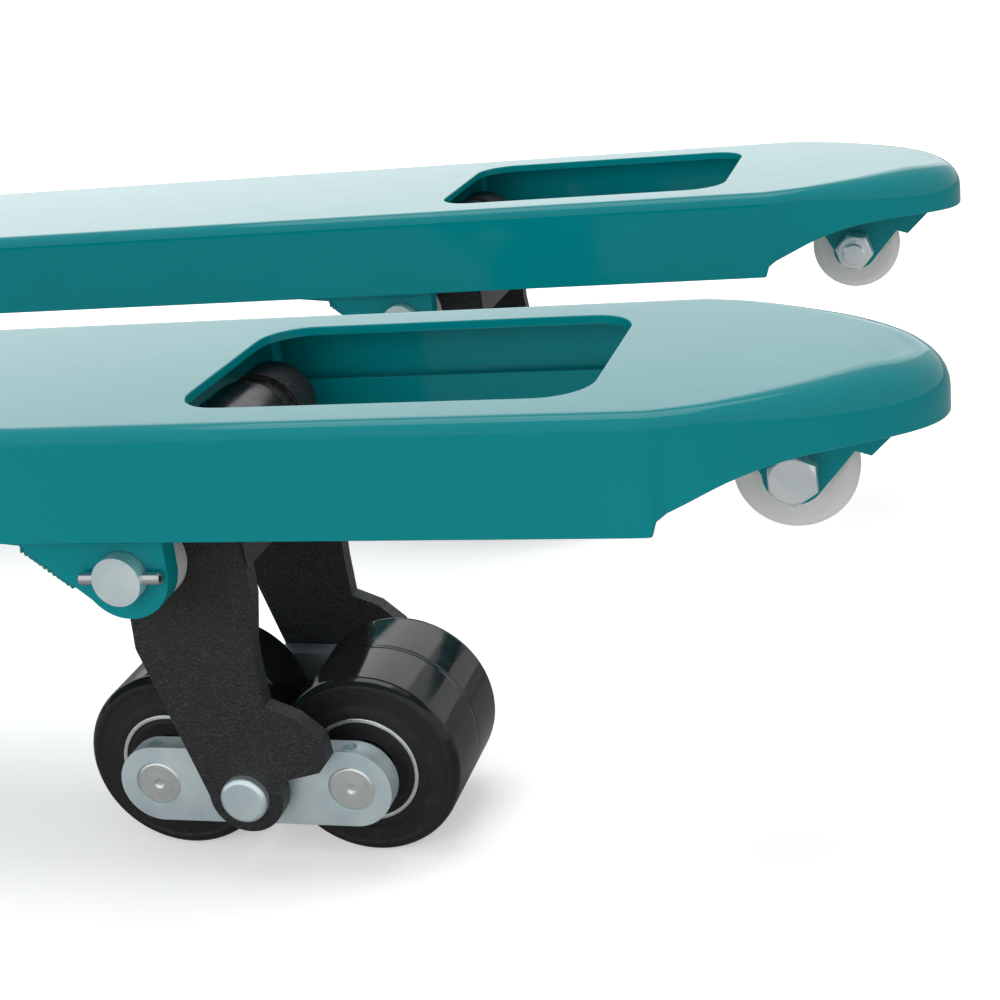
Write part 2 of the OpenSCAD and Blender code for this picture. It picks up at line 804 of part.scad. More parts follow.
module rocker() {
    color(black)
        difference() {
            union() {
                along_y(rocker_x, rocker_z, rocker_d / 2,
                    -fork_y - crank_gap - crank_t, fork_y + crank_gap + crank_t);
                for (side = [-1, 1], s = [-1, 1])
                    side_plate(side * fork_y + s * (crank_gap + crank_t / 2) - crank_t / 2, crank_t)
                        bar_outline(rocker_x, rocker_z, rocker_boss_r, rod_end_x, rod_z, crank_end_r);
                both_sides()
                    side_plate(lever_y, lever_t)
                        bar_outline(rocker_x, rocker_z, rocker_boss_r, seat_pin_x, seat_pin_z, crank_end_r);
            }
            for (side = [-1, 1])
                translate([0, side * fork_y, 0])
                    along_y(rod_end_x, rod_z, rocker_pin_d / 2, -crank_gap - crank_t - 1, crank_gap + crank_t + 1);
            along_y(seat_pin_x, seat_pin_z, rocker_pin_d / 2, -lever_y - lever_t - 1, lever_y + lever_t + 1);
        }
}
module rocker_pins() {
    color(zinc)
        for (side = [-1, 1])
            translate([0, side * fork_y, 0])
                along_y(rod_end_x, rod_z, rocker_pin_d / 2, -crank_gap - crank_t, crank_gap + crank_t);
}

// Hangers under the heel box, which carry the rocker's shaft
hanger_y = 70;
hanger_t = 12;
hanger_h = 80;
module rocker_hangers() {
    color(teal)
        both_sides()
            difference() {
                side_plate(hanger_y, hanger_t) {
                    translate([rocker_x, rocker_z])
                        circle(rocker_d / 2 + 10);
                    polygon([
                        [rocker_x - rocker_d / 2 - 10, rocker_z],
                        [rocker_x + rocker_d / 2 + 10, rocker_z],
                        [heel_x - heel_t, rocker_z + 10],
                        [heel_x - heel_t, rocker_z + hanger_h],
                        [rocker_x - rocker_d / 2 - 10, rocker_z + 40]
                    ]);
                }
                along_y(rocker_x, rocker_z, rocker_d / 2 + fit, hanger_y - 1, hanger_y + hanger_t + 1);
            }
}

// Heel box: a front plate across both forks, two cheeks and a hood
hood_top_w = 190;
hood_low = 250;
heel_side_h = 60;
heel_slope_h = 100;
heel_slope_in = 30;
cheek_t = 5;
heel_set = 1;
rod_hole_w = rod_d + 14;
module front_outline(inset) {
    side = over_forks / 2 - inset;
    polygon([for (s = [1, -1]) each [for (p = s > 0 ? front_side(side, inset) : mirrored(front_side(side, inset))) p]]);
}
function front_side(side, inset) = [
    [side, -skirt_h - (inset > 0 ? 1 : 0)],
    [side, heel_side_h - inset / 2],
    [side - heel_slope_in, heel_slope_h - inset / 2],
    [hood_top_w / 2 - inset, hood_low - inset / 2],
    [hood_top_w / 2 - inset, heel_h - inset]
];
function mirrored(points) = [for (i = [len(points) - 1:-1:0]) [-points[i][0], points[i][1]]];
module heel_box() {
    color(teal)
        translate([0, 0, raised_h]) {
            difference() {
                along_x(heel_x - heel_t, heel_x)
                    difference() {
                        front_outline(0);
                        for (side = [-1, 1])
                            translate([side * fork_y - rod_hole_w / 2, -skirt_h - 1])
                                square([rod_hole_w, skirt_h + 1 - plate_t]);
                    }
                translate([heel_x - heel_set, -over_forks / 2 - 1, 0])
                    cube([heel_set + 1, over_forks + 2, heel_h + 1]);
            }
            along_x(box_x, heel_x - heel_t)
                difference() {
                    front_outline(0);
                    front_outline(cheek_t);
                    translate([-head_w / 2, heel_h - cheek_t - 1])
                        square([head_w, cheek_t + 2]);
                }
        }
}

// Head arm: a channel from the heel box over the pump, with the socket of the piston rod
socket_r = piston_d / 2 + 9;
module head_arm() {
    color(teal)
        difference() {
            union() {
                translate([0, 0, head_z])
                    along_x(steer_x, heel_x - heel_t)
                        difference() {
                            channel_2d(head_w, head_h, 8);
                            translate([0, -heel_t])
                                channel_2d(head_w - 2 * heel_t, head_h, 2);
                        }
                translate([steer_x, 0, head_under_z])
                    cylinder(r = socket_r, h = head_h - 1);
                translate([steer_x, 0, head_z - heel_t])
                    cylinder(d = head_w, h = heel_t);
            }
            translate([steer_x, 0, head_under_z - 1])
                cylinder(d = piston_d, h = socket_depth + 1);
        }
}
socket_depth = 30;
cylinder_floor = tank_z - 60;
module piston_rod() {
    color([0.85, 0.86, 0.88])
        translate([steer_x, 0, cylinder_floor + lift + 6])
            cylinder(d = piston_d, h = head_under_z + socket_depth - cylinder_floor - lift - 6);
}

// Seat ring around the pump's neck, with two lugs whose long slots take the rocker's seat pin
ring_low = seat_pin_z - 18;
ring_high = seat_pin_z + 18;
ring_r = neck_d / 2 + 12;
lug_y = 3;
lug_t = lever_y - lug_y - gap;
seat_slot_r = rocker_pin_d / 2 + seat_slip;
seat_slot_x0 = seat_pin_x - lever_l * (1 - cos(rocker_dip)) - 1;
seat_slot_x1 = seat_pin_x + seat_run + 1;
seat_lug_r = seat_slot_r + 6;
module seat_ring() {
    color(black)
        difference() {
            union() {
                translate([steer_x, 0, ring_low])
                    cylinder(r = ring_r, h = ring_high - ring_low, $fn = 64);
                both_sides()
                    side_plate(lug_y, lug_t)
                        bar_outline(steer_x + ring_r - 4, seat_pin_z, seat_lug_r, seat_slot_x1, seat_pin_z, seat_lug_r);
            }
            translate([steer_x, 0, ring_low - 1])
                cylinder(d = neck_d + 2 * fit, h = ring_high - ring_low + 2, $fn = 64);
            for (x = [seat_slot_x0, seat_slot_x1])
                along_y(x, seat_pin_z, seat_slot_r, -lug_y - lug_t - 1, lug_y + lug_t + 1);
            translate([seat_slot_x0, -lug_y - lug_t - 1, seat_pin_z - seat_slot_r])
                cube([seat_slot_x1 - seat_slot_x0, 2 * (lug_y + lug_t + 1), 2 * seat_slot_r]);
        }
}
module seat_pin() {
    color(zinc)
        along_y(seat_pin_x, seat_pin_z, rocker_pin_d / 2, -lever_y - lever_t - 3, lever_y + lever_t + 3);
}

// Pump body: hub on the steering axle, neck in the seat ring and base of the plunger
hub_z = axle_z - 26;
shoulder_r = neck_d / 2 + 7;
module pump_body() {
    color(grey)
        difference() {
            union() {
                translate([steer_x, 0, hub_z])
                    cylinder(d = neck_d, h = tank_z - hub_z, $fn = 64);
                translate([steer_x, 0, ring_low - gap - 12])
                    cylinder(r = shoulder_r, h = 12, $fn = 64);
                along_y(steer_x, axle_z, 22, -wheel_in + gap, wheel_in - gap);
            }
            along_y(steer_x, axle_z, steer_axle_d / 2, -wheel_in - 1, wheel_in + 1);
            translate([steer_x, 0, cylinder_floor])
                cylinder(d = piston_d + 2 * fit, h = tank_z);
        }
}
module pump_tank() {
    color(grey)
        difference() {
            union() {
                translate([steer_x, 0, tank_z])
                    cylinder(d = tank_d, h = tank_h, $fn = 64);
                translate([plunger_x, 0, block_z])
                    cylinder(r = block_r, h = block_top - block_z);
                translate([plunger_x, spring_d / -2, tank_z])
                    cube([plunger_back - cylinder_d / 2, spring_d, block_top - tank_z]);
                both_sides()
                    side_plate(tiller_lug_y - tiller_lug_t, tiller_lug_t)
                        bar_outline(tiller_x, tiller_z, tiller_lug_r, steer_x - 34, tank_z + 24, 24);
                along_y(release_x, release_z, 5, tank_d / 2 - 16, release_y + 5);
            }
            translate([steer_x, 0, tank_z - 1])
                cylinder(d = cylinder_d, h = tank_h + 2);
            along_y(tiller_x, tiller_z, tiller_pin_d / 2, -60, 60);
            translate([plunger_x, 0, block_z + 5])
                cylinder(d = plunger_d + 2 * fit, h = tank_h + plunger_block);
        }
}
block_z = tank_z - plunger_block;
block_top = tank_z + 26;
module pump_cylinder() {
    color(grey)
        difference() {
            union() {
                translate([steer_x, 0, tank_z])
                    cylinder(d = cylinder_d, h = cylinder_z - tank_z - 14);
                translate([steer_x, 0, cylinder_z - 14])
                    cylinder(d1 = cylinder_d, d2 = cylinder_d - 8, h = 14);
            }
            translate([steer_x, 0, tank_z - 1])
                cylinder(d = piston_d + 2 * fit, h = cylinder_z);
        }
}

// Plunger with its cap and the coil spring that lifts it
cap_r = tiller_x - plunger_x - tiller_pin_d / 2 - gap;
plunger_low = block_z + 6 + plunger_travel;
module plunger() {
    color(zinc) {
        translate([plunger_x, 0, plunger_low])
            cylinder(d = plunger_d, h = plunger_top - plunger_low - plunger_cap_h);
        translate([plunger_x, 0, plunger_top - plunger_cap_h])
            cylinder(r = cap_r, h = plunger_cap_h);
    }
}
spring_low = block_top + spring_wire / 2;
spring_high = plunger_top - plunger_cap_h - spring_wire / 2;
rings_per_curl = 8;
function spring_point(i) = let (
        turn = i / rings_per_curl,
        z = spring_low + (spring_high - spring_low) * max(0, min(1, (turn - 0.5) / (spring_curls - 1)))
    ) [spring_d / 2 * cos(360 * turn), spring_d / 2 * sin(360 * turn), z];
function spring_ring(i) = let (
        a = 360 * i / rings_per_curl,
        c = spring_point(i),
        out = [cos(a), sin(a), 0]
    ) [for (k = [0:5]) c + spring_wire / 2 * (cos(60 * k) * out + [0, 0, sin(60 * k)])];
module plunger_spring() {
    rings = [for (i = [0:spring_curls * rings_per_curl]) spring_ring(i)];
    color(steel)
        translate([plunger_x, 0, 0])
            loft(rings);
}
spring_last = spring_curls * rings_per_curl;
spring_gap = min([for (i = [0:spring_last - rings_per_curl / 2], j = [i + rings_per_curl / 2:spring_last])
    norm(spring_point(i) - spring_point(j))]) - spring_wire;
echo(least_gap_between_curls = spring_gap);

// Steering axle and wheels
wheel_out = wheel_in + wheel_w;
module steering_axle() {
    color(steel) {
        along_y(steer_x, axle_z, steer_axle_d / 2, -wheel_out - 6, wheel_out + 6);
        both_sides()
            along_y(steer_x, axle_z, steer_axle_d / 2 + 7, wheel_out + gap, wheel_out + gap + 3);
    }
}
rim_r = wheel_d / 2 - tyre_t;
module tyre(side) {
    color(black)
        translate([steer_x, side * (wheel_in + wheel_w / 2), axle_z])
            rotate([-90, 0, 0])
                rotate_extrude($fn = 96)
                    polygon([
                        [rim_r, -wheel_w / 2 + 3],
                        [rim_r + 3, -wheel_w / 2],
                        [wheel_d / 2 - 6, -wheel_w / 2],
                        [wheel_d / 2 - 1.5, -wheel_w / 2 + 2.5],
                        [wheel_d / 2, -wheel_w / 2 + 8],
                        [wheel_d / 2, wheel_w / 2 - 8],
                        [wheel_d / 2 - 1.5, wheel_w / 2 - 2.5],
                        [wheel_d / 2 - 6, wheel_w / 2],
                        [rim_r + 3, wheel_w / 2],
                        [rim_r, wheel_w / 2 - 3]
                    ]);
}
module rim(side) {
    color(steel)
        translate([steer_x, side * (wheel_in + wheel_w / 2), axle_z])
            rotate([-90, 0, 0])
                rotate_extrude($fn = 96)
                    polygon([
                        [steer_axle_d / 2 + fit, -wheel_w / 2 + gap],
                        [steer_axle_d / 2 + 15, -wheel_w / 2 + gap],
                        [steer_axle_d / 2 + 15, -8],
                        [rim_r - 8, -8],
                        [rim_r - 8, -wheel_w / 2 + 3],
                        [rim_r, -wheel_w / 2 + 3],
                        [rim_r, wheel_w / 2 - 3],
                        [rim_r - 8, wheel_w / 2 - 3],
                        [rim_r - 8, 8],
                        [steer_axle_d / 2 + 15, 8],
                        [steer_axle_d / 2 + 15, wheel_w / 2 - gap],
                        [steer_axle_d / 2 + fit, wheel_w / 2 - gap]
                    ]);
}

// Release lever at the side of the pump, which the release rod turns
release_x = steer_x - 10;
release_z = tank_z + 34;
release_y = tank_d / 2 + 6;
module release_lever() {
    color(zinc)
        difference() {
            union() {
                along_y(release_x, release_z, 9, release_y - 4, release_y + 4);
                side_plate(release_y - 3, 6)
                    bar_outline(release_x, release_z, 9, release_x - 48, release_z + 4, 7);
            }
            along_y(release_x, release_z, 5 + fit, release_y - 8, release_y + 8);
            along_y(release_x - 48, release_z + 4, 3, release_y - 8, release_y + 8);
        }
}

// Tiller: forked foot on the pump's lugs, tube and loop handle
foot_y = tiller_lug_y + gap;
foot_t = 7;
foot_r = 17;
foot_block_h = 26;
foot_h = 74;
foot_top = tiller_z + foot_h;
crank_eye_r = 10;
lever_ear_t = 6;
lever_ear_r = 11;
module tiller() {
    color(black)
        difference() {
            union() {
                both_sides()
                    side_plate(foot_y, foot_t) {
                        bar_outline(tiller_x, tiller_z, foot_r, tiller_x, foot_top, foot_r - 2);
                        bar_outline(tiller_x, tiller_z, foot_r - 2, crank_x, crank_z, crank_eye_r);
                    }
                translate([tiller_x - tiller_d / 2, 1 - foot_y - foot_t, foot_top - foot_block_h / 2])
                    cube([tiller_d, 2 * (foot_y + foot_t - 1), foot_block_h]);
                translate([tiller_x, 0, foot_top])
                    cylinder(d = tiller_d, h = loop_low - foot_top);
                handle_loop();
                both_sides()
                    side_plate(lever_ear_y, lever_ear_t)
                        bar_outline(tiller_x, lever_z, lever_ear_r, tiller_x, loop_low, lever_ear_r + 1);
                along_y(tiller_x, lever_z, lever_pin_d / 2, -lever_ear_y, lever_ear_y);
            }
            translate([tiller_x, 0, foot_top + foot_block_h / 2])
                cylinder(d = tiller_d - 2 * tiller_wall, h = loop_low - foot_top - (foot_block_h + loop_d) / 2);
            translate([tiller_x - release_back, 0, foot_top - foot_block_h])
                cylinder(d = release_d + 2 * fit, h = lever_z - foot_top + foot_block_h);
            along_y(tiller_x, tiller_z, tiller_pin_d / 2 + fit, -foot_y - foot_t - 1, foot_y + foot_t + 1);
            along_y(crank_x, crank_z, crank_pin_d / 2 + fit, -foot_y - foot_t - 1, foot_y + foot_t + 1);
        }
}
module handle_loop() {
    half = [loop_w / 2 - loop_r, loop_h / 2 - loop_r];
    translate([tiller_x, 0, loop_z])
        rotate([90, 0, 90]) {
            for (s = [-1, 1]) {
                translate([0, s * loop_h / 2, 0])
                    rotate([0, 90, 0])
                        cylinder(d = loop_d, h = 2 * half[0], center = true);
                translate([s * loop_w / 2, 0, 0])
                    rotate([90, 0, 0])
                        cylinder(d = loop_d, h = 2 * half[1], center = true);
            }
            for (i = [0:3])
                mirror([i % 2, 0, 0])
                    mirror([0, floor(i / 2), 0])
                        translate([half[0], half[1], 0])
                            rotate_extrude(angle = 90)
                                translate([loop_r, 0])
                                    circle(d = loop_d);
        }
}
module tiller_pin() {
    color(zinc)
        along_y(tiller_x, tiller_z, tiller_pin_d / 2, -foot_y - foot_t - 4, foot_y + foot_t + 4);
}
module crank_roller() {
    color(steel) {
        along_y(crank_x, crank_z, crank_roller_d / 2, -crank_roller_w / 2, crank_roller_w / 2);
        along_y(crank_x, crank_z, crank_pin_d / 2 + 2, gap - foot_y, foot_y - gap);
        along_y(crank_x, crank_z, crank_pin_d / 2, -foot_y - foot_t - 2, foot_y + foot_t + 2);
    }
}

// Control lever in the handle's loop, and the rod that it presses
lever_half = 6;
lever_ear_y = lever_half + gap;
lever_pin_d = 8;
lever_grip_z = loop_z - lever_z + 10;
lever_nose_r = 5;
module control_lever() {
    color(black)
        difference() {
            union() {
                side_plate(-lever_half, 2 * lever_half)
                    translate([tiller_x, lever_z]) {
                        circle(9.5);
                        translate([-7, 0])
                            square([14, lever_grip_z]);
                        translate([-release_back, -6])
                            circle(lever_nose_r);
                        translate([-release_back - lever_nose_r, -6])
                            square([lever_nose_r + release_back, 8]);
                    }
                along_y(tiller_x, lever_z + lever_grip_z, 11, -34, 34);
            }
            along_y(tiller_x, lever_z, lever_pin_d / 2 + fit, -10, 10);
        }
}
release_top = lever_z - 6 - lever_nose_r - gap;
release_tail = 25;
module release_rod() {
    color(steel)
        translate([tiller_x - release_back, 0, foot_top - release_tail])
            cylinder(d = release_d, h = release_top - foot_top + release_tail);
}

fork(1);  // fork_left
fork(-1);  // fork_right
nose(1);  // nose_left
nose(-1);  // nose_right
web(1);  // web_left
web(-1);  // web_right
ears(1);  // ears_left
ears(-1);  // ears_right
heel_box();
head_arm();
rocker_hangers();
entry_bracket(1);  // entry_bracket_left
entry_bracket(-1);  // entry_bracket_right
entry_bolts();
entry_nuts();
entry_roller(1);  // entry_roller_left
entry_roller(-1);  // entry_roller_right
pivot_pins();
roll_pins();
piston_rod();
roller_frame(1);  // roller_frame_left
roller_frame(-1);  // roller_frame_right
frame_bushes(1);  // frame_bushes_left
frame_bushes(-1);  // frame_bushes_right
bogie_pins(1);  // bogie_pins_left
bogie_pins(-1);  // bogie_pins_right
bogie_plates(1);  // bogie_plates_left
bogie_plates(-1);  // bogie_plates_right
axles(1);  // axles_left
axles(-1);  // axles_right
load_roller(1, -1);  // load_roller_left_rear
load_roller(1, 1);  // load_roller_left_front
load_roller(-1, -1);  // load_roller_right_rear
load_roller(-1, 1);  // load_roller_right_front
bearings(1, -1);  // bearings_left_rear
bearings(1, 1);  // bearings_left_front
bearings(-1, -1);  // bearings_right_rear
bearings(-1, 1);  // bearings_right_front
push_rod(1);  // push_rod_left
push_rod(-1);  // push_rod_right
rocker();
rocker_pins();
seat_ring();
seat_pin();
pump_body();
pump_tank();
pump_cylinder();
plunger();
plunger_spring();
steering_axle();
tyre(1);  // tyre_left
tyre(-1);  // tyre_right
rim(1);  // rim_left
rim(-1);  // rim_right
release_lever();
tiller();
tiller_pin();
crank_roller();
control_lever();
release_rod();
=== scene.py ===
import json
import math
import bpy
import bmesh
import numpy as np
from mathutils import Matrix, Vector


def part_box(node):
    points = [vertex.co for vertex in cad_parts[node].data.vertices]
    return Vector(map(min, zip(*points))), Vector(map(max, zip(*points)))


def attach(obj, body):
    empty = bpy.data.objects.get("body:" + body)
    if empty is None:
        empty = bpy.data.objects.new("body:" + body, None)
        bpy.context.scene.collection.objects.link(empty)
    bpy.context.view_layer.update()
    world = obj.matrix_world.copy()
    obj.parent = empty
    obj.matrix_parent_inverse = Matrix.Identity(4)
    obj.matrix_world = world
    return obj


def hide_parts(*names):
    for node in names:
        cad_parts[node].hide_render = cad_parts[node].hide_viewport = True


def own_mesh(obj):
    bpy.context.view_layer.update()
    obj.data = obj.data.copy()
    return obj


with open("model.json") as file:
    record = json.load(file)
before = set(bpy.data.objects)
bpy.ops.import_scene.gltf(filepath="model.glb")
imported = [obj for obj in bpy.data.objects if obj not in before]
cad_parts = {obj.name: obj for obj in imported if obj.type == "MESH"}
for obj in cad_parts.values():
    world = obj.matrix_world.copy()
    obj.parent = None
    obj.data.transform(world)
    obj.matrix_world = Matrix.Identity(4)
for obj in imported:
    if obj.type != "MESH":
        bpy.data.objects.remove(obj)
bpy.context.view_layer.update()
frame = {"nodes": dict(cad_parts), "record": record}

scene = bpy.context.scene
body_of = {n: b for b, ns in frame["record"]["behaviour"]["bodies"].items() for n in ns}


# Camera, from the fit to the photograph
YAW, PITCH, ROLL = math.radians(16.26), math.radians(19.892), math.radians(-6.518)
CAMERA_PLACE = (0.7831, -0.8341, 0.3898)
PICTURE_WIDTH, FOCAL_LENGTH = 1000.0, 1793.8
SENSOR = 36.0


def set_camera():
    back = Vector((math.sin(YAW) * math.cos(PITCH), -math.cos(YAW) * math.cos(PITCH), math.sin(PITCH)))
    right = (-back).cross(Vector((0, 0, 1))).normalized()
    up = right.cross(-back)
    rolled_right = math.cos(ROLL) * right + math.sin(ROLL) * up
    rolled_up = -math.sin(ROLL) * right + math.cos(ROLL) * up
    data = bpy.data.cameras.new("camera")
    data.sensor_fit = "HORIZONTAL"
    data.sensor_width = SENSOR
    data.lens = FOCAL_LENGTH * SENSOR / PICTURE_WIDTH
    data.clip_start = 0.05
    data.clip_end = 60.0
    camera = bpy.data.objects.new("camera", data)
    scene.collection.objects.link(camera)
    turn = Matrix((rolled_right, rolled_up, back)).transposed().to_4x4()
    camera.matrix_world = Matrix.Translation(CAMERA_PLACE) @ turn
    scene.camera = camera


set_camera()
scene.view_settings.view_transform = "Standard"


# Materials. A noise's scale is in cycles per metre, and most of its values lie within NOISE_REACH.
NOISE_REACH = (0.3, 0.7)


class Mat:
    """A principled material with short calls to add nodes."""

    def __init__(self, name):
        self.m = bpy.data.materials.new(name)
        self.m.use_nodes = True
        self.t = self.m.node_tree
        self.p = self.t.nodes["Principled BSDF"]
        self.co = None

    def node(self, kind, **values):
        n = self.t.nodes.new(kind)
        for k, v in values.items():
            if k in n.inputs:
                n.inputs[k].default_value = v
            else:
                setattr(n, k, v)
        return n

    def link(self, a, b):
        self.t.links.new(a, b)

    def coords(self, stretch=(1, 1, 1)):
        if self.co is None:
            self.co = self.node("ShaderNodeTexCoord")
        m = self.node("ShaderNodeMapping", Scale=stretch)
        self.link(self.co.outputs["Object"], m.inputs["Vector"])
        return m.outputs["Vector"]

    def noise(self, scale, detail=3.0, rough=0.55, stretch=(1, 1, 1)):
        n = self.node("ShaderNodeTexNoise", Scale=scale, Detail=detail, Roughness=rough)
        self.link(self.coords(stretch), n.inputs["Vector"])
        return n.outputs["Fac"]

    def span(self, fac, a, b, lo, hi):
        """Maps a to b onto lo to hi, and stops there."""
        r = self.node("ShaderNodeMapRange")
        for k, v in (("From Min", a), ("From Max", b), ("To Min", lo), ("To Max", hi)):
            r.inputs[k].default_value = v
        self.link(fac, r.inputs["Value"])
        return r.outputs["Result"]

    def math(self, operation, a, b=None):
        n = self.node("ShaderNodeMath", operation=operation)
        for i, v in enumerate((a, b)):
            if isinstance(v, (int, float)):
                n.inputs[i].default_value = v
            elif v is not None:
                self.link(v, n.inputs[i])
        return n.outputs[0]

    def mix(self, fac, a, b):
        """Colour a where fac is 0 and b where it is 1."""
        n = self.node("ShaderNodeMix", data_type="RGBA")
        self.link(fac, n.inputs[0])
        n.inputs[6].default_value = (*a, 1)
        n.inputs[7].default_value = (*b, 1)
        return n.outputs[2]

    def bump(self, heights):
        """heights: (value, strength, distance) from the coarsest to the finest."""
        last = None
        for value, strength, distance in heights:
            b = self.node("ShaderNodeBump", Strength=strength, Distance=distance)
            self.link(value, b.inputs["Height"])
            if last is not None:
                self.link(last, b.inputs["Normal"])
            last = b.outputs["Normal"]
        self.link(last, self.p.inputs["Normal"])

    def set(self, **values):
        for k, v in values.items():
            s = self.p.inputs[k.replace("_", " ")]
            if isinstance(v, (int, float)):
                s.default_value = v
            elif isinstance(v, tuple):
                s.default_value = (*v, 1) if s.type == "RGBA" else v
            else:
                self.link(v, s)


def times(tint, by):
    return tuple(min(1, c * by) for c in tint)


def finish(name, dark, light, blotch, rough, wear, bumps, reach=NOISE_REACH, **values):
    """A material between two colours and two roughnesses, over bumps of (noise, strength, distance).
    A noise is (scale, detail), then its roughness and its stretch where they matter."""
    m = Mat(name)
    m.set(Base_Color=m.mix(m.noise(*blotch), dark, light), **values)
    m.set(Roughness=m.span(m.noise(*wear), *reach, *rough))
    m.bump([(m.noise(*noise), strength, distance) for noise, strength, distance in bumps])
    return m.m


def teal_paint():
    m = Mat("teal enamel")
    tone = m.mix(m.span(m.noise(9, 3), *NOISE_REACH, 0, 1), (0.0, 0.205, 0.228), (0.0, 0.222, 0.246))
    m.set(Base_Color=tone, Roughness=m.span(m.noise(35, 4), 0.3, 0.75, 0.06, 0.12), IOR=1.3)
    m.bump([(m.noise(55, 2), 0.03, 0.002), (m.noise(420, 2), 0.03, 0.0003)])
    return m.m


def black_coat():
    """A coarse powder coat; bright specks here and there in its colour are painted glints of its grain."""
    m = Mat("black powder coat")
    grain = m.noise(900, 2, 0.6)
    glint_speck = m.noise(2600, 1, 0.5)
    # Painted highlight: the bright specks mixed into the base colour stand in for glints off the grain
    tone = m.mix(m.span(glint_speck, 0.62, 0.74, 0, 1), (0.005, 0.0052, 0.0058), (0.11, 0.11, 0.115))
    m.set(Base_Color=tone, Roughness=m.span(grain, *NOISE_REACH, 0.24, 0.46), Specular_IOR_Level=0.6)
    m.bump([(m.noise(60, 2), 0.12, 0.002), (grain, 1.0, 0.0012), (glint_speck, 0.6, 0.0004)])
    return m.m


def zinc(name, tint):
    m = Mat(name)
    cloud = m.noise(45, 4)
    fine = m.noise(700, 2, 0.6)
    tone = m.mix(m.span(cloud, *NOISE_REACH, 0, 1), times(tint, 0.9), times(tint, 1.14))
    rough = m.math("ADD", m.span(cloud, *NOISE_REACH, 0.3, 0.4), m.span(fine, *NOISE_REACH, 0, 0.08))
    m.set(Base_Color=tone, Metallic=0.84, Roughness=rough)
    m.bump([(m.noise(30, 2), 0.05, 0.001), (fine, 0.12, 0.0002)])
    return m.m


def turned_steel(name, centre, step, tint):
    """Rings of a lathe tool, a step apart, round an axis along Y through centre (x, z)."""
    m = Mat(name)
    place = m.node("ShaderNodeSeparateXYZ")
    m.link(m.coords(), place.inputs[0])
    dx = m.math("SUBTRACT", place.outputs["X"], centre[0])
    dz = m.math("SUBTRACT", place.outputs["Z"], centre[1])
    r = m.math("SQRT", m.math("ADD", m.math("MULTIPLY", dx, dx), m.math("MULTIPLY", dz, dz)))
    rings = m.math("SINE", m.math("MULTIPLY", r, 2 * math.pi / step))
    tone = m.mix(m.span(m.noise(60, 4), *NOISE_REACH, 0, 1), tint, times(tint, 1.15))
    m.set(Base_Color=tone, Metallic=1.0, Roughness=m.span(m.noise(300, 3), *NOISE_REACH, 0.26, 0.42))
    m.bump([(rings, 0.16, 0.00025), (m.noise(900, 2), 0.1, 0.0001)])
    return m.m


def roller_face():
    """The roller's moulded side, with dust in its grain."""
    m = Mat("black roller face")
    dust = m.span(m.noise(220, 5, 0.7), 0.56, 0.75, 0, 1)
    m.set(Base_Color=m.mix(dust, (0.016, 0.016, 0.017), (0.035, 0.034, 0.033)), Specular_IOR_Level=0.25)
    m.set(Roughness=m.span(m.noise(90, 4), *NOISE_REACH, 0.42, 0.6))
    m.bump([(m.noise(600, 3), 0.2, 0.0002)])
    return m.m


ALONG_Z, ALONG_Y = (1, 1, 0.05), (1, 0.08, 1)
STEEL, NYLON, CASTING = (0.6, 0.61, 0.62), (0.64, 0.635, 0.62), (0.02, 0.021, 0.023)
teal, black, face_mat = teal_paint(), black_coat(), roller_face()
zinc_plate = zinc("blue white zinc", (0.77, 0.92, 1.0))
zinc_bolt = zinc("zinc bolts", (0.87, 0.97, 1.0))
gloss_black = finish(
    "black gloss paint", (0.006, 0.006, 0.007), (0.014, 0.014, 0.015), blotch=(30, 3),
    rough=(0.2, 0.34), wear=(60, 3), bumps=[((80, 2), 0.08, 0.001)])
ground = finish(
    "ground steel", STEEL, times(STEEL, 1.12), blotch=(25, 3), Metallic=1.0,
    rough=(0.23, 0.38), wear=(260, 3, 0.6, ALONG_Y), bumps=[((260, 3, 0.6, ALONG_Y), 0.1, 0.0002)])
chrome = finish(
    "hard chrome", (0.78, 0.79, 0.8), (0.84, 0.85, 0.86), blotch=(20, 2), Metallic=1.0,
    rough=(0.06, 0.14), wear=(200, 3, 0.5, ALONG_Z), bumps=[((300, 2, 0.5, ALONG_Z), 0.03, 0.0001)])
rim_mat = finish(
    "die cast alloy", (0.5, 0.51, 0.52), (0.62, 0.63, 0.64), blotch=(40, 4), Metallic=1.0,
    rough=(0.34, 0.5), wear=(160, 4), bumps=[((500, 3), 0.16, 0.0003)])
cast_mat = finish(
    "painted casting", CASTING, times(CASTING, 1.8), blotch=(30, 4),
    rough=(0.3, 0.5), wear=(110, 4), bumps=[((140, 4, 0.65), 0.35, 0.0012), ((700, 2), 0.12, 0.0003)])
white = finish(
    "white nylon", NYLON, times(NYLON, 0.95), blotch=(30, 3), rough=(0.26, 0.42), wear=(120, 3),
    bumps=[((260, 3), 0.06, 0.0003)], Subsurface_Weight=0.25, Subsurface_Radius=(0.004, 0.0035, 0.003))
plastic = finish(
    "grained plastic", (0.014, 0.014, 0.015), (0.025, 0.025, 0.026), blotch=(40, 3),
    rough=(0.45, 0.62), wear=(1100, 2, 0.6), bumps=[((1100, 2, 0.6), 0.35, 0.0004)])
tyre_mat = finish(
    "tyre rubber", (0.012, 0.012, 0.0125), (0.028, 0.027, 0.026), blotch=(40, 4),
    rough=(0.5, 0.72), wear=(150, 4), bumps=[((70, 3), 0.1, 0.001), ((900, 2), 0.3, 0.0003)])
tread_mat = finish(
    "black roller tread", (0.008, 0.0085, 0.0095), (0.016, 0.017, 0.018), blotch=(25, 3), reach=(0.35, 0.75),
    rough=(0.06, 0.16), wear=(140, 4), bumps=[((35, 2), 0.05, 0.002), ((500, 3), 0.08, 0.0002)], IOR=1.38)
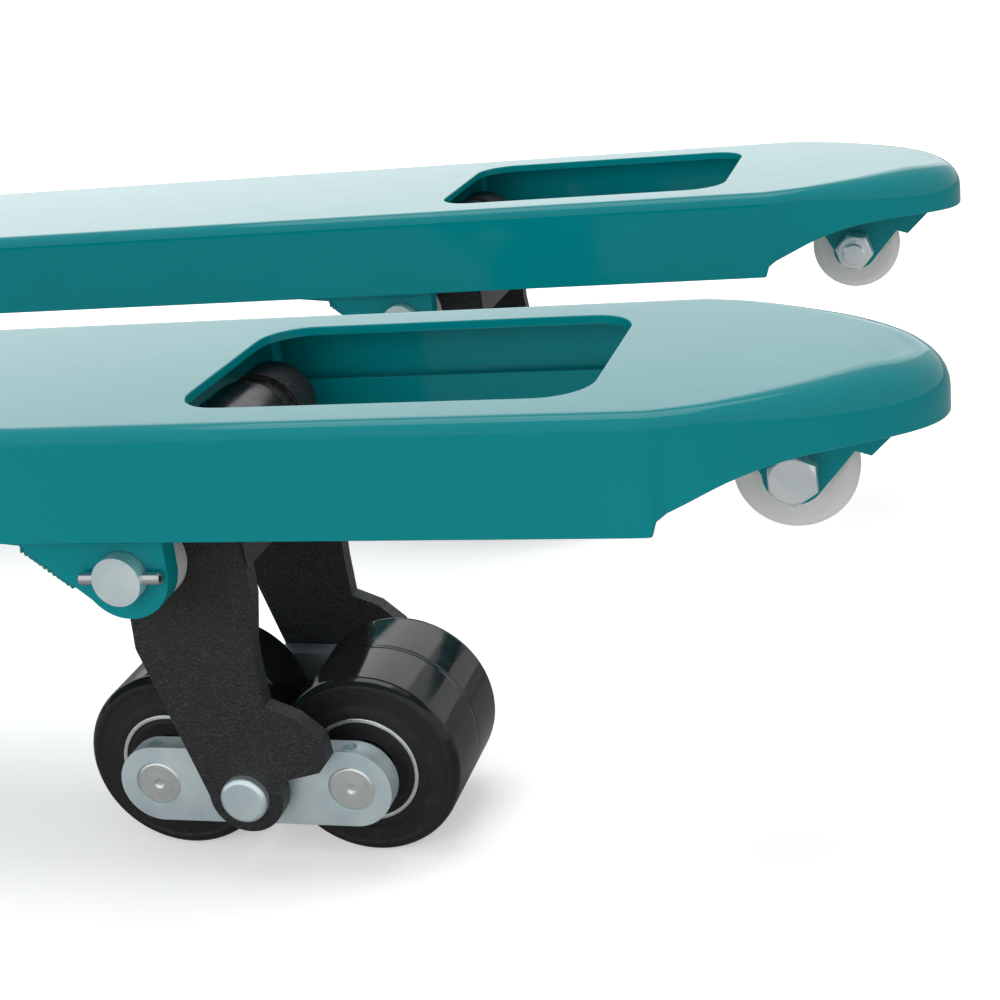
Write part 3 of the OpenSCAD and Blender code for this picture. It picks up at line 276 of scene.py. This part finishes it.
bead_mat = finish(
    "painted weld", (0.0, 0.17, 0.19), (0.0, 0.21, 0.232), blotch=(120, 3),
    rough=(0.16, 0.3), wear=(200, 3), bumps=[((260, 3), 0.25, 0.0008)], IOR=1.3)


# Mesh helpers. Points closer than MERGE are one, and CAD edges under FLAT are dissolved.
MERGE, CAD_MERGE, FLAT = 1e-6, 2e-6, math.radians(0.6)


def piece(name, bm, mats, body, replaces=(), bevel=0.0, segments=2, smooth=32, bevel_from=38):
    """Makes an object of a bmesh, with its materials and body. Edges up to smooth degrees are smooth,
    and those over bevel_from degrees are bevelled."""
    bmesh.ops.remove_doubles(bm, verts=bm.verts, dist=MERGE)
    bmesh.ops.recalc_face_normals(bm, faces=bm.faces)
    mesh = bpy.data.meshes.new(name)
    bm.to_mesh(mesh)
    bm.free()
    o = bpy.data.objects.new(name, mesh)
    scene.collection.objects.link(o)
    for mat in mats if isinstance(mats, list) else [mats]:
        mesh.materials.append(mat)
    if bevel:
        m = o.modifiers.new("bevel", "BEVEL")
        m.width = bevel
        m.segments = segments
        m.limit_method = "ANGLE"
        m.angle_limit = math.radians(bevel_from)
        m.use_clamp_overlap = True
        bake(o)
    o.data.polygons.foreach_set("use_smooth", [True] * len(o.data.polygons))
    o.data.set_sharp_from_angle(angle=math.radians(smooth))
    m = o.modifiers.new("normals", "WEIGHTED_NORMAL")
    m.keep_sharp = True
    bake(o)
    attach(o, body)
    if replaces:
        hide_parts(*replaces)
    return o


def bake(o):
    """Applies the modifiers to the mesh."""
    bpy.context.view_layer.update()
    mesh = bpy.data.meshes.new_from_object(o.evaluated_get(bpy.context.evaluated_depsgraph_get()))
    o.modifiers.clear()
    old = o.data
    o.data = mesh
    bpy.data.meshes.remove(old)


def dress(node, mat, bevel, segments=2):
    """A rounded copy of a CAD node with its own material."""
    bm = bmesh.new()
    bm.from_mesh(frame["nodes"][node].data)
    for layer in list(bm.loops.layers.uv):
        bm.loops.layers.uv.remove(layer)
    bmesh.ops.remove_doubles(bm, verts=bm.verts, dist=CAD_MERGE)
    bmesh.ops.dissolve_limit(bm, angle_limit=FLAT, verts=bm.verts, edges=bm.edges)
    return piece(node + ".look", bm, mat, body_of[node], (node,), bevel, segments)


def facet(bm, *corners):
    """A face over the corners, each taken once."""
    once = [v for k, v in enumerate(corners) if v not in corners[:k]]
    if len(once) > 2:
        bm.faces.new(once)


def grid(bm, rows, closed=False):
    """Quads over rows of points, each row a ring if closed; returns the rows of vertices."""
    vs = [[bm.verts.new(p) for p in row] for row in rows]
    across = len(vs[0])
    for one, two in zip(vs, vs[1:]):
        for j in range(across if closed else across - 1):
            k = (j + 1) % across
            facet(bm, one[j], one[k], two[k], two[j])
    return vs


def round_profile(points, r, steps=3):
    """Rounds the corners of an open profile of (radius, along) points; a third value sets a corner's own radius."""
    out = [points[0][:2]]
    for k in range(1, len(points) - 1):
        p = Vector(points[k][:2])
        a, b = Vector(points[k - 1][:2]) - p, Vector(points[k + 1][:2]) - p
        own = points[k][2] if len(points[k]) > 2 else r
        d = min(own, a.length * 0.45, b.length * 0.45)
        a, b = p + a.normalized() * d, p + b.normalized() * d
        for i in range(steps + 1):
            t = i / steps
            out.append(tuple((1 - t) ** 2 * a + 2 * t * (1 - t) * p + t * t * b))
    out.append(points[-1][:2])
    return out


def mirrored(profile, side):
    """The profile on one side, 1 or -1."""
    return [(p[0], side * p[1], *p[2:]) for p in profile]


def lathe(bm, profile, centre, steps):
    """Turns a profile of (radius, along the axis) round an axis along Y through centre."""
    cx, cy, cz = centre
    turns = [2 * math.pi * k / steps for k in range(steps)]
    grid(bm, [[(cx + r * math.cos(a), cy + h, cz + r * math.sin(a)) for a in turns] for r, h in profile], closed=True)


def tube_along(bm, points, radius, sides, ripple):
    """A closed tube along points. radius gives its size from 0 to 1 along it, and ripple its unevenness,
    of a quick wave from ring to ring under a slow one."""
    pts = [Vector(p) for p in points]
    last = len(pts) - 1
    rows = []
    normal = None
    for i, p in enumerate(pts):
        t = (pts[min(i + 1, last)] - pts[max(i - 1, 0)]).normalized()
        if normal is None:
            normal = t.orthogonal().normalized()
        normal = (normal - normal.dot(t) * t).normalized()
        side = t.cross(normal)
        wave = math.sin(i * 2.1) * (0.6 + 0.4 * math.sin(i * 0.37))
        r = radius(i / last) * (1 + ripple * wave)
        turns = [2 * math.pi * k / sides for k in range(sides)]
        rows.append([p + r * (math.cos(a) * normal + math.sin(a) * side) for a in turns])
    vs = grid(bm, rows, closed=True)
    bm.faces.new(vs[0])
    bm.faces.new(vs[-1])


def between(a, b, n):
    a, b = Vector(a), Vector(b)
    return [tuple(a.lerp(b, i / n)) for i in range(n + 1)]


def centre_of(node):
    return tuple((low + high) / 2 for low, high in zip(*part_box(node)))


# Places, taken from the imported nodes. Along the fork, x is counted from the step between skirt and nose.
SIDES = (("left", 1), ("right", -1))
fork_low, fork_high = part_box("fork_left")
FORK_Y = (fork_low.y + fork_high.y) / 2
HALF = (fork_high.y - fork_low.y) / 2
HEEL_X, STEP_X = fork_low.x, fork_high.x
TOP_Z, SKIRT_Z = fork_high.z, fork_low.z
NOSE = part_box("nose_left")[1].x - STEP_X
BOGIE_Z = centre_of("bogie_pins_left")[2]
ROLLERS = {end: centre_of("load_roller_left_" + end)[0] for end in ("rear", "front")}

# The fork's plate, its bends, and its nose: taper and bluntness of the outline, length and droop of the tip
PLATE, BEND, LAND = 0.004, 0.006, 0.0012
NOSE_TAPER, NOSE_BLUNT = 1.2, 0.5
TIP, TIP_DROOP, TIP_DIP = 0.042, 0.009, 0.0035
# The nose's lower edge: its step over the skirt, its rise and how soon it rises
STEP_UP, RISE, RISE_SOON = 0.004, 0.018, 2.1
# The softer bend of the nose, and the dent that the press left at the step
NOSE_BEND, NOSE_BEND_FROM, NOSE_BEND_OVER = 0.009, 0.02, 0.06
DENT, DENT_AT, DENT_WIDE = 0.0026, 0.006, 0.005
# Stations along the fork, closer near the step and towards the tip, and steps up the wall, round the bend and across
STATIONS = (-0.9, -0.7, -0.5, -0.3, -0.2, -0.1, -0.05, -0.02, -0.008, -0.002, 0.0, 0.002, 0.006)
NOSE_STATIONS, NOSE_FIRST, NOSE_SPACING, TIP_STEPS = 10, 0.012, 0.0046, 24
WALL_STEPS, BEND_STEPS, STRIPS = (0, 0.2, 0.4, 0.6, 0.8), 8, 12
# The roller opening: its ends, half its width and its round corners
OPEN_END = STEP_X - 0.0245
OPEN_START = OPEN_END - 0.161
OPEN_HALF, OPEN_ROUND, OPEN_STEPS = 0.056, 0.020, 12


# Forks: one shell from the heel to the nose's tip
def nose_half(x):
    return HALF * max(0.0, 1 - max(0.0, x / NOSE) ** NOSE_TAPER) ** NOSE_BLUNT


def nose_low(x):
    side = NOSE - TIP
    if x <= 0:
        return SKIRT_Z
    low = SKIRT_Z + STEP_UP + RISE * (1 - (1 - x / side) ** RISE_SOON if x < side else 1)
    return low - (TIP_DIP * ((x - side) / TIP) ** 2 if x > side else 0)


def nose_top(x):
    side = NOSE - TIP
    return TOP_Z - (TIP_DROOP * ((x - side) / TIP) ** 3 if x > side else 0)


def fork_walls(points, y0, inset):
    """Columns of points up the side, round the bend and onto the top, one for each point of the outline."""
    last, mid = len(points) - 1, len(points) // 2
    columns = []
    for j, (x, h) in enumerate(points):
        along = (Vector(points[min(j + 1, last)]) - Vector(points[max(j - 1, 0)])).normalized()
        if x <= 0:
            along = Vector((1, 0)) if j < mid else Vector((-1, 0))
        inward = Vector((-along.y, along.x))
        soft = BEND + NOSE_BEND * max(0.0, min(1.0, (x - NOSE_BEND_FROM) / NOSE_BEND_OVER))
        top, low = nose_top(x + inward.x * soft), nose_low(x)
        dent = DENT * math.exp(-((x - DENT_AT) / DENT_WIDE) ** 2)

        def at(depth, z):
            q = Vector((x, h)) + inward * depth
            y = 0.0 if j == mid else (max(0.0, q.y) if h > 0 else min(0.0, q.y))
            return (STEP_X + q.x, y0 + y, z)

        column = [at(inset + dent * (1 - f), low + (top - soft - low) * f) for f in WALL_STEPS]
        column.append(at(inset, top - soft - LAND))
        for k in range(BEND_STEPS + 1):
            u = math.radians(90 * k / BEND_STEPS)
            depth = inset + (soft - inset) * (1 - math.cos(u))
            column.append(at(depth, top - soft + (soft - inset) * math.sin(u)))
        edge_x, edge_y, _ = at(soft + LAND, 0)
        column.append((edge_x, edge_y, nose_top(edge_x - STEP_X) - inset))
        columns.append(column)
    return columns


def nose_plate(bm, rim, start, inset):
    """Strips across the nose's top, from one half of the rim to the other; returns the first row."""
    first = previous = None
    for j in range(start, len(rim) // 2 + 1):
        a, b = rim[j], rim[-1 - j]
        row = [a] * (STRIPS + 1)
        if a is not b:
            z = nose_top(a.co.x - STEP_X) - inset
            ys = [a.co.y + (b.co.y - a.co.y) * k / STRIPS for k in range(1, STRIPS)]
            row = [a] + [bm.verts.new((a.co.x, y, z)) for y in ys] + [b]
        if previous:
            for k in range(STRIPS):
                facet(bm, previous[k], previous[k + 1], row[k + 1], row[k])
        previous = row
        first = first or row
    return first


def opening_ring(bm, y0, z):
    ring = []
    corners = ((OPEN_END, OPEN_HALF), (OPEN_START, OPEN_HALF), (OPEN_START, -OPEN_HALF), (OPEN_END, -OPEN_HALF))
    for quarter, (cx, cy) in enumerate(corners):
        cx += OPEN_ROUND if cx == OPEN_START else -OPEN_ROUND
        cy += OPEN_ROUND if cy < 0 else -OPEN_ROUND
        for k in range(OPEN_STEPS + 1):
            a = math.radians(90 * quarter + 90 * k / OPEN_STEPS)
            ring.append(bm.verts.new((cx + OPEN_ROUND * math.cos(a), y0 + cy + OPEN_ROUND * math.sin(a), z)))
    return ring


def fork_skin(bm, y0, xs, inset):
    """One skin of the fork: its sides, bends, nose and flat top, inset from the outside.
    Returns its rims: the lower edge, both ends at the heel and the opening."""
    side = [(x, nose_half(x)) for x in xs[:-1]]
    points = [(x, -h) for x, h in side] + [(NOSE, 0.0)] + [(x, h) for x, h in reversed(side)]
    columns = grid(bm, fork_walls(points, y0, inset))
    rim = [column[-1] for column in columns]
    start = next(j for j, (x, h) in enumerate(points) if x >= -1e-9)
    first = nose_plate(bm, rim, start, inset)
    hole = opening_ring(bm, y0, TOP_Z - inset)
    edges = [bm.edges.new((hole[k], hole[(k + 1) % len(hole)])) for k in range(len(hole))]
    one, other = rim[:start + 1], [rim[-1 - j] for j in range(start + 1)]
    for row in (one, other, first):
        for a, b in zip(row, row[1:]):
            edges.append(bm.edges.get((a, b)) or bm.edges.new((a, b)))
    edges.append(bm.edges.new((one[0], other[0])))
    bmesh.ops.triangle_fill(bm, use_beauty=True, edges=edges, normal=(0, 0, 1))
    return [column[0] for column in columns], columns[0], columns[-1], hole


def fork_shell(side_name, s):
    """An outer and an inner skin, joined along their rims."""
    bm = bmesh.new()
    xs = [HEEL_X - STEP_X, *STATIONS]
    xs += [NOSE_FIRST + NOSE_SPACING * k for k in range(NOSE_STATIONS)]
    xs += [NOSE - TIP + TIP * math.sin(math.radians(90 * k / TIP_STEPS)) for k in range(TIP_STEPS + 1)]
    xs = sorted(set(round(x, 6) for x in xs))
    outer, inner = fork_skin(bm, s * FORK_Y, xs, 0.0), fork_skin(bm, s * FORK_Y, xs, PLATE)
    for a, b, closed in zip(outer, inner, (False, False, False, True)):
        for k in range(len(a) if closed else len(a) - 1):
            m = (k + 1) % len(a)
            bm.faces.new((a[k], a[m], b[m], b[k]))
    bm.faces.new((outer[1][-1], outer[2][-1], inner[2][-1], inner[1][-1]))
    nodes = ("fork_" + side_name, "nose_" + side_name)
    name = "fork_shell." + side_name
    piece(name, bm, teal, "chassis", nodes, bevel=0.0007, segments=3, smooth=28, bevel_from=50)


for side_name, s in SIDES:
    fork_shell(side_name, s)


# Load rollers. Profiles are (radius, along the axis) from the middle, with a corner's own radius where it differs.
ROLLER_R, ROLLER_HALF, ROLLER_BORE = 0.040, 0.033, 0.0235
TREAD_FROM = 0.0378
BEARING_STEEL, AXLE_STEEL = (0.90, 0.92, 0.90), (0.84, 0.87, 0.85)
BEARING_RINGS, AXLE_RINGS = 0.0016, 0.0009


def load_roller(side_name, s, end):
    """A roller with a recessed face and a seam round its tread, and its two bearings and seals."""
    middle = (ROLLERS[end], s * FORK_Y, BOGIE_Z)
    r, half = ROLLER_R, ROLLER_HALF
    body = "load_wheel_%s_%s" % (side_name, end)
    bm = bmesh.new()
    profile = [
        (ROLLER_BORE, half - 0.006), (ROLLER_BORE, half + 0.001), (0.0262, half + 0.001), (0.0272, half + 0.0002),
        (0.0285, half - 0.0006), (0.0345, half - 0.0006), (0.0355, half), (0.0372, half, 0.0006),
        (r, half - 0.003, 0.003), (r, 0.0016, 0.0001), (r - 0.00012, 0.0003, 0.0001)]
    profile += mirrored(reversed(profile), -1)
    lathe(bm, round_profile(profile, 0.0005), middle, 160)
    for f in bm.faces:
        c = f.calc_center_median()
        f.material_index = 0 if math.hypot(c.x - middle[0], c.z - middle[2]) > TREAD_FROM else 1
    node = "load_roller_%s_%s" % (side_name, end)
    piece("load_roller.%s.%s" % (side_name, end), bm, [tread_mat, face_mat], body, (node,), smooth=40)

    outer = [
        (ROLLER_BORE, half - 0.006), (ROLLER_BORE, half + 0.0014, 0.0003), (0.0218, half + 0.0014, 0.0003),
        (0.0216, half + 0.0004, 0.0001), (0.0215, half - 0.006)]
    inner = [
        (0.0125, half - 0.006), (0.0125, half + 0.0012, 0.0003), (0.0140, half + 0.0072, 0.0005),
        (0.01305, half + 0.0072)]
    seal = [
        (0.0216, half + 0.0003), (0.0195, half + 0.0009, 0.0003), (0.0165, half + 0.0004, 0.0003),
        (0.0139, half + 0.0006)]
    bearings, seals = bmesh.new(), bmesh.new()
    for t in (1, -1):
        lathe(bearings, round_profile(mirrored(outer, t), 0.0003), middle, 120)
        lathe(bearings, round_profile(mirrored(inner, t), 0.0003), middle, 96)
        lathe(seals, round_profile(mirrored(seal, t), 0.0003), middle, 96)
    turned = turned_steel("bearing %s %s" % (side_name, end), middle[::2], BEARING_RINGS, BEARING_STEEL)
    node = "bearings_%s_%s" % (side_name, end)
    piece("bearing.%s.%s" % (side_name, end), bearings, turned, body, (node,), smooth=40)
    piece("seal.%s.%s" % (side_name, end), seals, face_mat, body, smooth=40)


def axle(side_name, s, end):
    """Both halves of an axle, with a centre mark and a chamfer at the ends; radii are shares of the axle's."""
    node = "axles_" + side_name
    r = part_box(node)[1].x - ROLLERS["front"]
    profile = [
        (0.0, 0.0497), (0.12 * r, 0.0497), (0.22 * r, 0.0505, 0.0002), (0.88 * r, 0.0505), (r, 0.0497, 0.0004),
        (r, 0.0)]
    bm = bmesh.new()
    for t in (1, -1):
        lathe(bm, round_profile(mirrored(profile, t), 0.0002), (ROLLERS[end], s * FORK_Y, BOGIE_Z), 96)
    turned = turned_steel("axle %s %s" % (side_name, end), (ROLLERS[end], BOGIE_Z), AXLE_RINGS, AXLE_STEEL)
    piece("axle.%s.%s" % (side_name, end), bm, turned, "bogie_" + side_name, (node,), smooth=35)


for side_name, s in SIDES:
    for end in ROLLERS:
        load_roller(side_name, s, end)
    for end in ROLLERS:
        axle(side_name, s, end)
    dress("bogie_plates_" + side_name, zinc_plate, 0.0013, 3)
    dress("bogie_pins_" + side_name, zinc_plate, 0.0006)
    dress("roller_frame_" + side_name, black, 0.0011, 3)
    dress("frame_bushes_" + side_name, white, 0.0006)
    dress("push_rod_" + side_name, gloss_black, 0.0008)
    dress("ears_" + side_name, teal, 0.0008)
    dress("web_" + side_name, teal, 0.0006)
    dress("entry_bracket_" + side_name, teal, 0.0007)


# Entry rollers, bolts and nuts
ENTRY_X, _, ENTRY_Z = centre_of("entry_roller_left")
# Half across the flats, the round face's share of it, its chamfer and the steps round it
HEX_HALF, HEX_FACE, HEX_CHAMFER, HEX_STEPS = 0.009, 0.955, math.radians(30), 96
HEAD_THICK, HEAD_TURN = 0.0075, 0.04
NUT_THICK, NUT_TURN = 0.011, 0.35
BOLT_R, BOLT_CHAMFER, BOLT_SEAT, BOLT_END, SUNK = 0.006, 0.0008, 0.0123, 0.016, 0.001


def hexagon(bm, y, side, thick, turn):
    """A hexagon with a chamfered outer face, from y outwards, open at its middle; returns its rings."""
    face = HEX_HALF * HEX_FACE
    rows = [[], [], [], []]
    for k in range(HEX_STEPS):
        a = 2 * math.pi * k / HEX_STEPS
        from_flat = (a + math.pi / 6) % (math.pi / 3) - math.pi / 6
        rim = HEX_HALF / math.cos(from_flat)
        chamfer = (rim - face) * math.tan(HEX_CHAMFER)
        steps = ((rim, 0.0), (rim, thick - chamfer), (face, thick), (face * 0.5, thick))
        for row, (r, h) in zip(rows, steps):
            row.append((ENTRY_X + r * math.cos(a + turn), y + side * h, ENTRY_Z + r * math.sin(a + turn)))
    return grid(bm, rows, closed=True)


def entry_roller(side_name, s):
    low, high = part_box("entry_roller_left")
    r, half = (high.z - low.z) / 2, (high.y - low.y) / 2
    profile = [
        (0.0062, half - 0.002), (0.0075, half, 0.0004), (0.0130, half, 0.0005), (0.0138, half - 0.0006, 0.0003),
        (r - 0.0036, half - 0.0006, 0.001), (r, half - 0.0035, 0.003), (r, 0.0)]
    profile += mirrored(reversed(profile[:-1]), -1)
    bm = bmesh.new()
    lathe(bm, round_profile(profile, 0.0004, 4), (ENTRY_X, s * FORK_Y, ENTRY_Z), 128)
    node = "entry_roller_" + side_name
    piece("entry_roller." + side_name, bm, white, "entry_wheel_" + side_name, (node,), smooth=40)


for side_name, s in SIDES:
    entry_roller(side_name, s)
bolts, nuts = bmesh.new(), bmesh.new()
for side_name, s in SIDES:
    y = s * FORK_Y
    head = hexagon(bolts, y + s * BOLT_SEAT, s, HEAD_THICK, HEAD_TURN)
    bolts.faces.new(head[-1])
    shank = [
        (0.0, BOLT_SEAT - SUNK), (BOLT_R, BOLT_SEAT - SUNK), (BOLT_R, SUNK - BOLT_SEAT - BOLT_END),
        (BOLT_R - BOLT_CHAMFER, -BOLT_SEAT - BOLT_END), (0.0, -BOLT_SEAT - BOLT_END)]
    lathe(bolts, mirrored(shank, s), (ENTRY_X, y, ENTRY_Z), 48)
    hexagon(nuts, y - s * BOLT_SEAT, -s, NUT_THICK, NUT_TURN)
piece("entry_bolts.look", bolts, zinc_bolt, "chassis", ("entry_bolts",), smooth=25)
piece("entry_nuts.look", nuts, zinc_bolt, "chassis", ("entry_nuts",), smooth=25)

dress("pivot_pins", zinc_plate, 0.0008)

# Slotted spring pins along X, through the pivot pins' ends
SPRING_R, SPRING_WALL, SPRING_HALF = 0.0025, 0.0006, 0.017
SPRING_CHAMFER, CHAMFER_L = 0.0004, 0.0005
SLOT_FROM, SLOT_TURN, SLOT_STEPS = -70, 320, 24
PIVOT_X, _, PIVOT_Z = centre_of("roll_pins")
SPRING_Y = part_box("roll_pins")[1].y - FORK_Y - SPRING_R


def spring_pin(bm, y):
    """A rolled tube with an open slot and chamfered ends."""
    turns = [math.radians(SLOT_FROM + SLOT_TURN * k / SLOT_STEPS) for k in range(SLOT_STEPS + 1)]
    rows = []
    for x, r in (
            (-SPRING_HALF, SPRING_R - SPRING_CHAMFER), (CHAMFER_L - SPRING_HALF, SPRING_R),
            (SPRING_HALF - CHAMFER_L, SPRING_R), (SPRING_HALF, SPRING_R - SPRING_CHAMFER)):
        outside = [(PIVOT_X + x, y + r * math.cos(a), PIVOT_Z + r * math.sin(a)) for a in turns]
        r -= SPRING_WALL
        inside = [(PIVOT_X + x, y + r * math.cos(a), PIVOT_Z + r * math.sin(a)) for a in reversed(turns)]
        rows.append(outside + inside)
    vs = grid(bm, rows, closed=True)
    for row in (vs[0], vs[-1]):
        for k in range(SLOT_STEPS):
            bm.faces.new((row[k], row[k + 1], row[-2 - k], row[-1 - k]))


bm = bmesh.new()
for side_name, s in SIDES:
    for t in (1, -1):
        spring_pin(bm, s * FORK_Y + t * SPRING_Y)
piece("spring_pins", bm, ground, "chassis", ("roll_pins",), smooth=35)

# Heel, head, rocker and steering unit: node, material and bevel
for node, mat, bevel in (
        ("heel_box", teal, 0.0015), ("head_arm", teal, 0.0012), ("rocker_hangers", teal, 0.001),
        ("piston_rod", chrome, 0.0008), ("rocker", black, 0.001), ("rocker_pins", zinc_plate, 0.0008),
        ("seat_ring", cast_mat, 0.0012), ("seat_pin", zinc_plate, 0.0008), ("pump_body", cast_mat, 0.0015),
        ("pump_tank", cast_mat, 0.0025), ("pump_cylinder", cast_mat, 0.0012), ("plunger", chrome, 0.0008),
        ("plunger_spring", ground, 0.0), ("steering_axle", ground, 0.0008), ("tyre_left", tyre_mat, 0.001),
        ("tyre_right", tyre_mat, 0.001), ("rim_left", rim_mat, 0.001), ("rim_right", rim_mat, 0.001),
        ("release_lever", zinc_plate, 0.0007), ("tiller", gloss_black, 0.0008), ("tiller_pin", zinc_plate, 0.0008),
        ("crank_roller", ground, 0.0006), ("control_lever", plastic, 0.0015), ("release_rod", ground, 0.0004)):
    look = dress(node, mat, bevel, 3 if bevel > 0.001 else 2)
    if node == "plunger_spring":
        coil = look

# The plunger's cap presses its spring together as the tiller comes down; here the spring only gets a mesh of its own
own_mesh(coil)


# Weld beads: above the ears, along their sloping edges and where the forks meet the heel plate
EAR_BEAD, SLOPE_BEAD, HEEL_BEAD = 0.0021, 0.0036, 0.0028
EAR_RINGS, SLOPE_RINGS, HEEL_UP, HEEL_ROUND, HEEL_ACROSS = 46, 40, 12, 5, 50
# A bead's sides, its ripple, its share of the radius at the ends, and the part of its length that tapers: 1 / 12
BEAD_SIDES, BEAD_RIPPLE, BEAD_TIP, BEAD_TAPER = 10, 0.13, 0.35, 12
ear_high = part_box("ears_left")[1]
EAR_OUT, EAR_R = ear_high.y - FORK_Y, ear_high.x - PIVOT_X
EAR_TOP_L, EAR_BACK, EAR_SLOPE, SLOPE_SHARE = 0.040, 0.044, math.radians(35), 0.8
BEAD_PROUD, BEAD_SUNK, BEAD_DROP, SLOPE_DROP = 0.0006, 0.005, 0.0008, 0.0035
WELD_X, WELD_FOOT, WELD_BEND = HEEL_X + 0.001, 0.003, 0.007


def bead(name, points, radius):
    """A rippled weld bead that tapers at both ends."""
    bm = bmesh.new()

    def tapered(t):
        return radius * (BEAD_TIP + (1 - BEAD_TIP) * min(1.0, BEAD_TAPER * t, BEAD_TAPER * (1 - t)))

    tube_along(bm, points, tapered, BEAD_SIDES, BEAD_RIPPLE)
    piece(name, bm, bead_mat, "chassis", smooth=60)


def ear_beads(side_name, s, hand, t):
    y, z = s * FORK_Y + t * s * (EAR_OUT + BEAD_PROUD), SKIRT_Z - BEAD_DROP
    top = between((PIVOT_X - EAR_TOP_L, y, z), (PIVOT_X + EAR_R, y, z), EAR_RINGS)
    bead("weld_ear_top.%s.%s" % (side_name, hand), top, EAR_BEAD)
    y = s * FORK_Y + t * s * (EAR_OUT - BEAD_SUNK)
    high = Vector((PIVOT_X - EAR_BACK, y, SKIRT_Z - SLOPE_DROP))
    low = Vector((PIVOT_X - EAR_R * math.cos(EAR_SLOPE), y, PIVOT_Z - EAR_R * math.sin(EAR_SLOPE)))
    slope = between(high, high.lerp(low, SLOPE_SHARE), SLOPE_RINGS)
    bead("weld_ear_edge.%s.%s" % (side_name, hand), slope, SLOPE_BEAD)


def heel_bead(side_name, s):
    """Up the fork's inner side, round the bend and across its top, inside the heel's width."""
    inner = s * FORK_Y - s * HALF
    rise = TOP_Z - SKIRT_Z - WELD_FOOT - WELD_BEND
    turn = [math.radians(90 * k / HEEL_ROUND) for k in range(1, HEEL_ROUND + 1)]
    top = [WELD_BEND + 2 * (HALF - WELD_BEND) * k / HEEL_ACROSS for k in range(1, HEEL_ACROSS)]
    path = [(WELD_X, inner, SKIRT_Z + WELD_FOOT + rise * k / HEEL_UP) for k in range(HEEL_UP + 1)]
    path += [(WELD_X, inner + s * WELD_BEND * (1 - math.cos(a)), TOP_Z - WELD_BEND * (1 - math.sin(a))) for a in turn]
    path += [(WELD_X, inner + s * y, TOP_Z) for y in top]
    bead("weld_heel." + side_name, path, HEEL_BEAD)


for side_name, s in SIDES:
    ear_beads(side_name, s, "outer", 1)
    ear_beads(side_name, s, "inner", -1)
    heel_bead(side_name, s)


# Floor, world and lights. The floor glows for the camera, more so away from the truck, so it fades into white.
FLOOR_REACH, FLOOR_CELLS, FLOOR_TONE = 9.0, 12, 0.9
FLOOR_GLOW, FLOOR_GLOW_FAR = 0.42, 1.0
FLOOR_NEAR, FLOOR_FAR = 1.6, 3.4
FLOOR_MIRRORED = 0.37
WORLD_FILL, WORLD_SEEN, WORLD_MIRRORED = 0.55, 1.0, 0.88


def stage_floor():
    bm = bmesh.new()
    marks = np.linspace(-FLOOR_REACH, FLOOR_REACH, FLOOR_CELLS + 1)
    grid(bm, [[(x, y, 0.0) for y in marks] for x in marks])
    mesh = bpy.data.meshes.new("floor")
    bm.to_mesh(mesh)
    bm.free()
    o = bpy.data.objects.new("floor", mesh)
    scene.collection.objects.link(o)
    m = Mat("pale floor")
    ray = m.node("ShaderNodeLightPath")
    away = m.node("ShaderNodeVectorMath", operation="LENGTH")
    m.link(m.coords(), away.inputs[0])
    glow = m.span(away.outputs["Value"], FLOOR_NEAR, FLOOR_FAR, FLOOR_GLOW, FLOOR_GLOW_FAR)
    tone = m.mix(ray.outputs["Is Glossy Ray"], (FLOOR_TONE,) * 3, (FLOOR_MIRRORED,) * 3)
    m.set(Base_Color=tone, Roughness=0.9, Specular_IOR_Level=0.0, Emission_Color=(1, 1, 1))
    m.set(Emission_Strength=m.math("MULTIPLY", ray.outputs["Is Camera Ray"], glow))
    mesh.materials.append(m.m)


def studio_world():
    """White to the camera and through clear things, a little less in mirrors, and a soft fill elsewhere."""
    world = bpy.data.worlds.new("studio")
    scene.world = world
    world.use_nodes = True
    nodes, links = world.node_tree.nodes, world.node_tree.links
    nodes.clear()
    sky = nodes.new("ShaderNodeBackground")
    sky.inputs["Color"].default_value = (1, 1, 1, 1)
    path = nodes.new("ShaderNodeLightPath")
    levels = (("Is Camera Ray", WORLD_SEEN), ("Is Transmission Ray", WORLD_SEEN), ("Is Glossy Ray", WORLD_MIRRORED))
    before = None
    for ray, value in levels:
        mix = nodes.new("ShaderNodeMix")
        links.new(path.outputs[ray], mix.inputs[0])
        mix.inputs[3].default_value = value
        if before is None:
            mix.inputs[2].default_value = WORLD_FILL
        else:
            links.new(before, mix.inputs[2])
        before = mix.outputs[0]
    links.new(before, sky.inputs["Strength"])
    links.new(sky.outputs[0], nodes.new("ShaderNodeOutputWorld").inputs[0])


def area_light(name, place, target, width, height, power, glossy=True):
    data = bpy.data.lights.new(name, "AREA")
    data.shape = "RECTANGLE"
    data.size = width
    data.size_y = height
    data.energy = power
    o = bpy.data.objects.new(name, data)
    scene.collection.objects.link(o)
    turn = (Vector(place) - Vector(target)).to_track_quat("Z", "Y").to_matrix().to_4x4()
    o.matrix_world = Matrix.Translation(place) @ turn
    o.visible_glossy = glossy
    o.visible_camera = False


stage_floor()
studio_world()
area_light("back softbox", (-0.9, 4.2, 1.9), (0.3, 0, 0.5), 6.0, 2.6, 45)
area_light("top softbox", (0.3, 0.2, 3.2), (0.3, 0, 0), 2.4, 2.4, 50)
area_light("front fill", (-0.9, -3.4, 1.3), (0.2, 0, 0.2), 2.2, 2.2, 40, glossy=False)
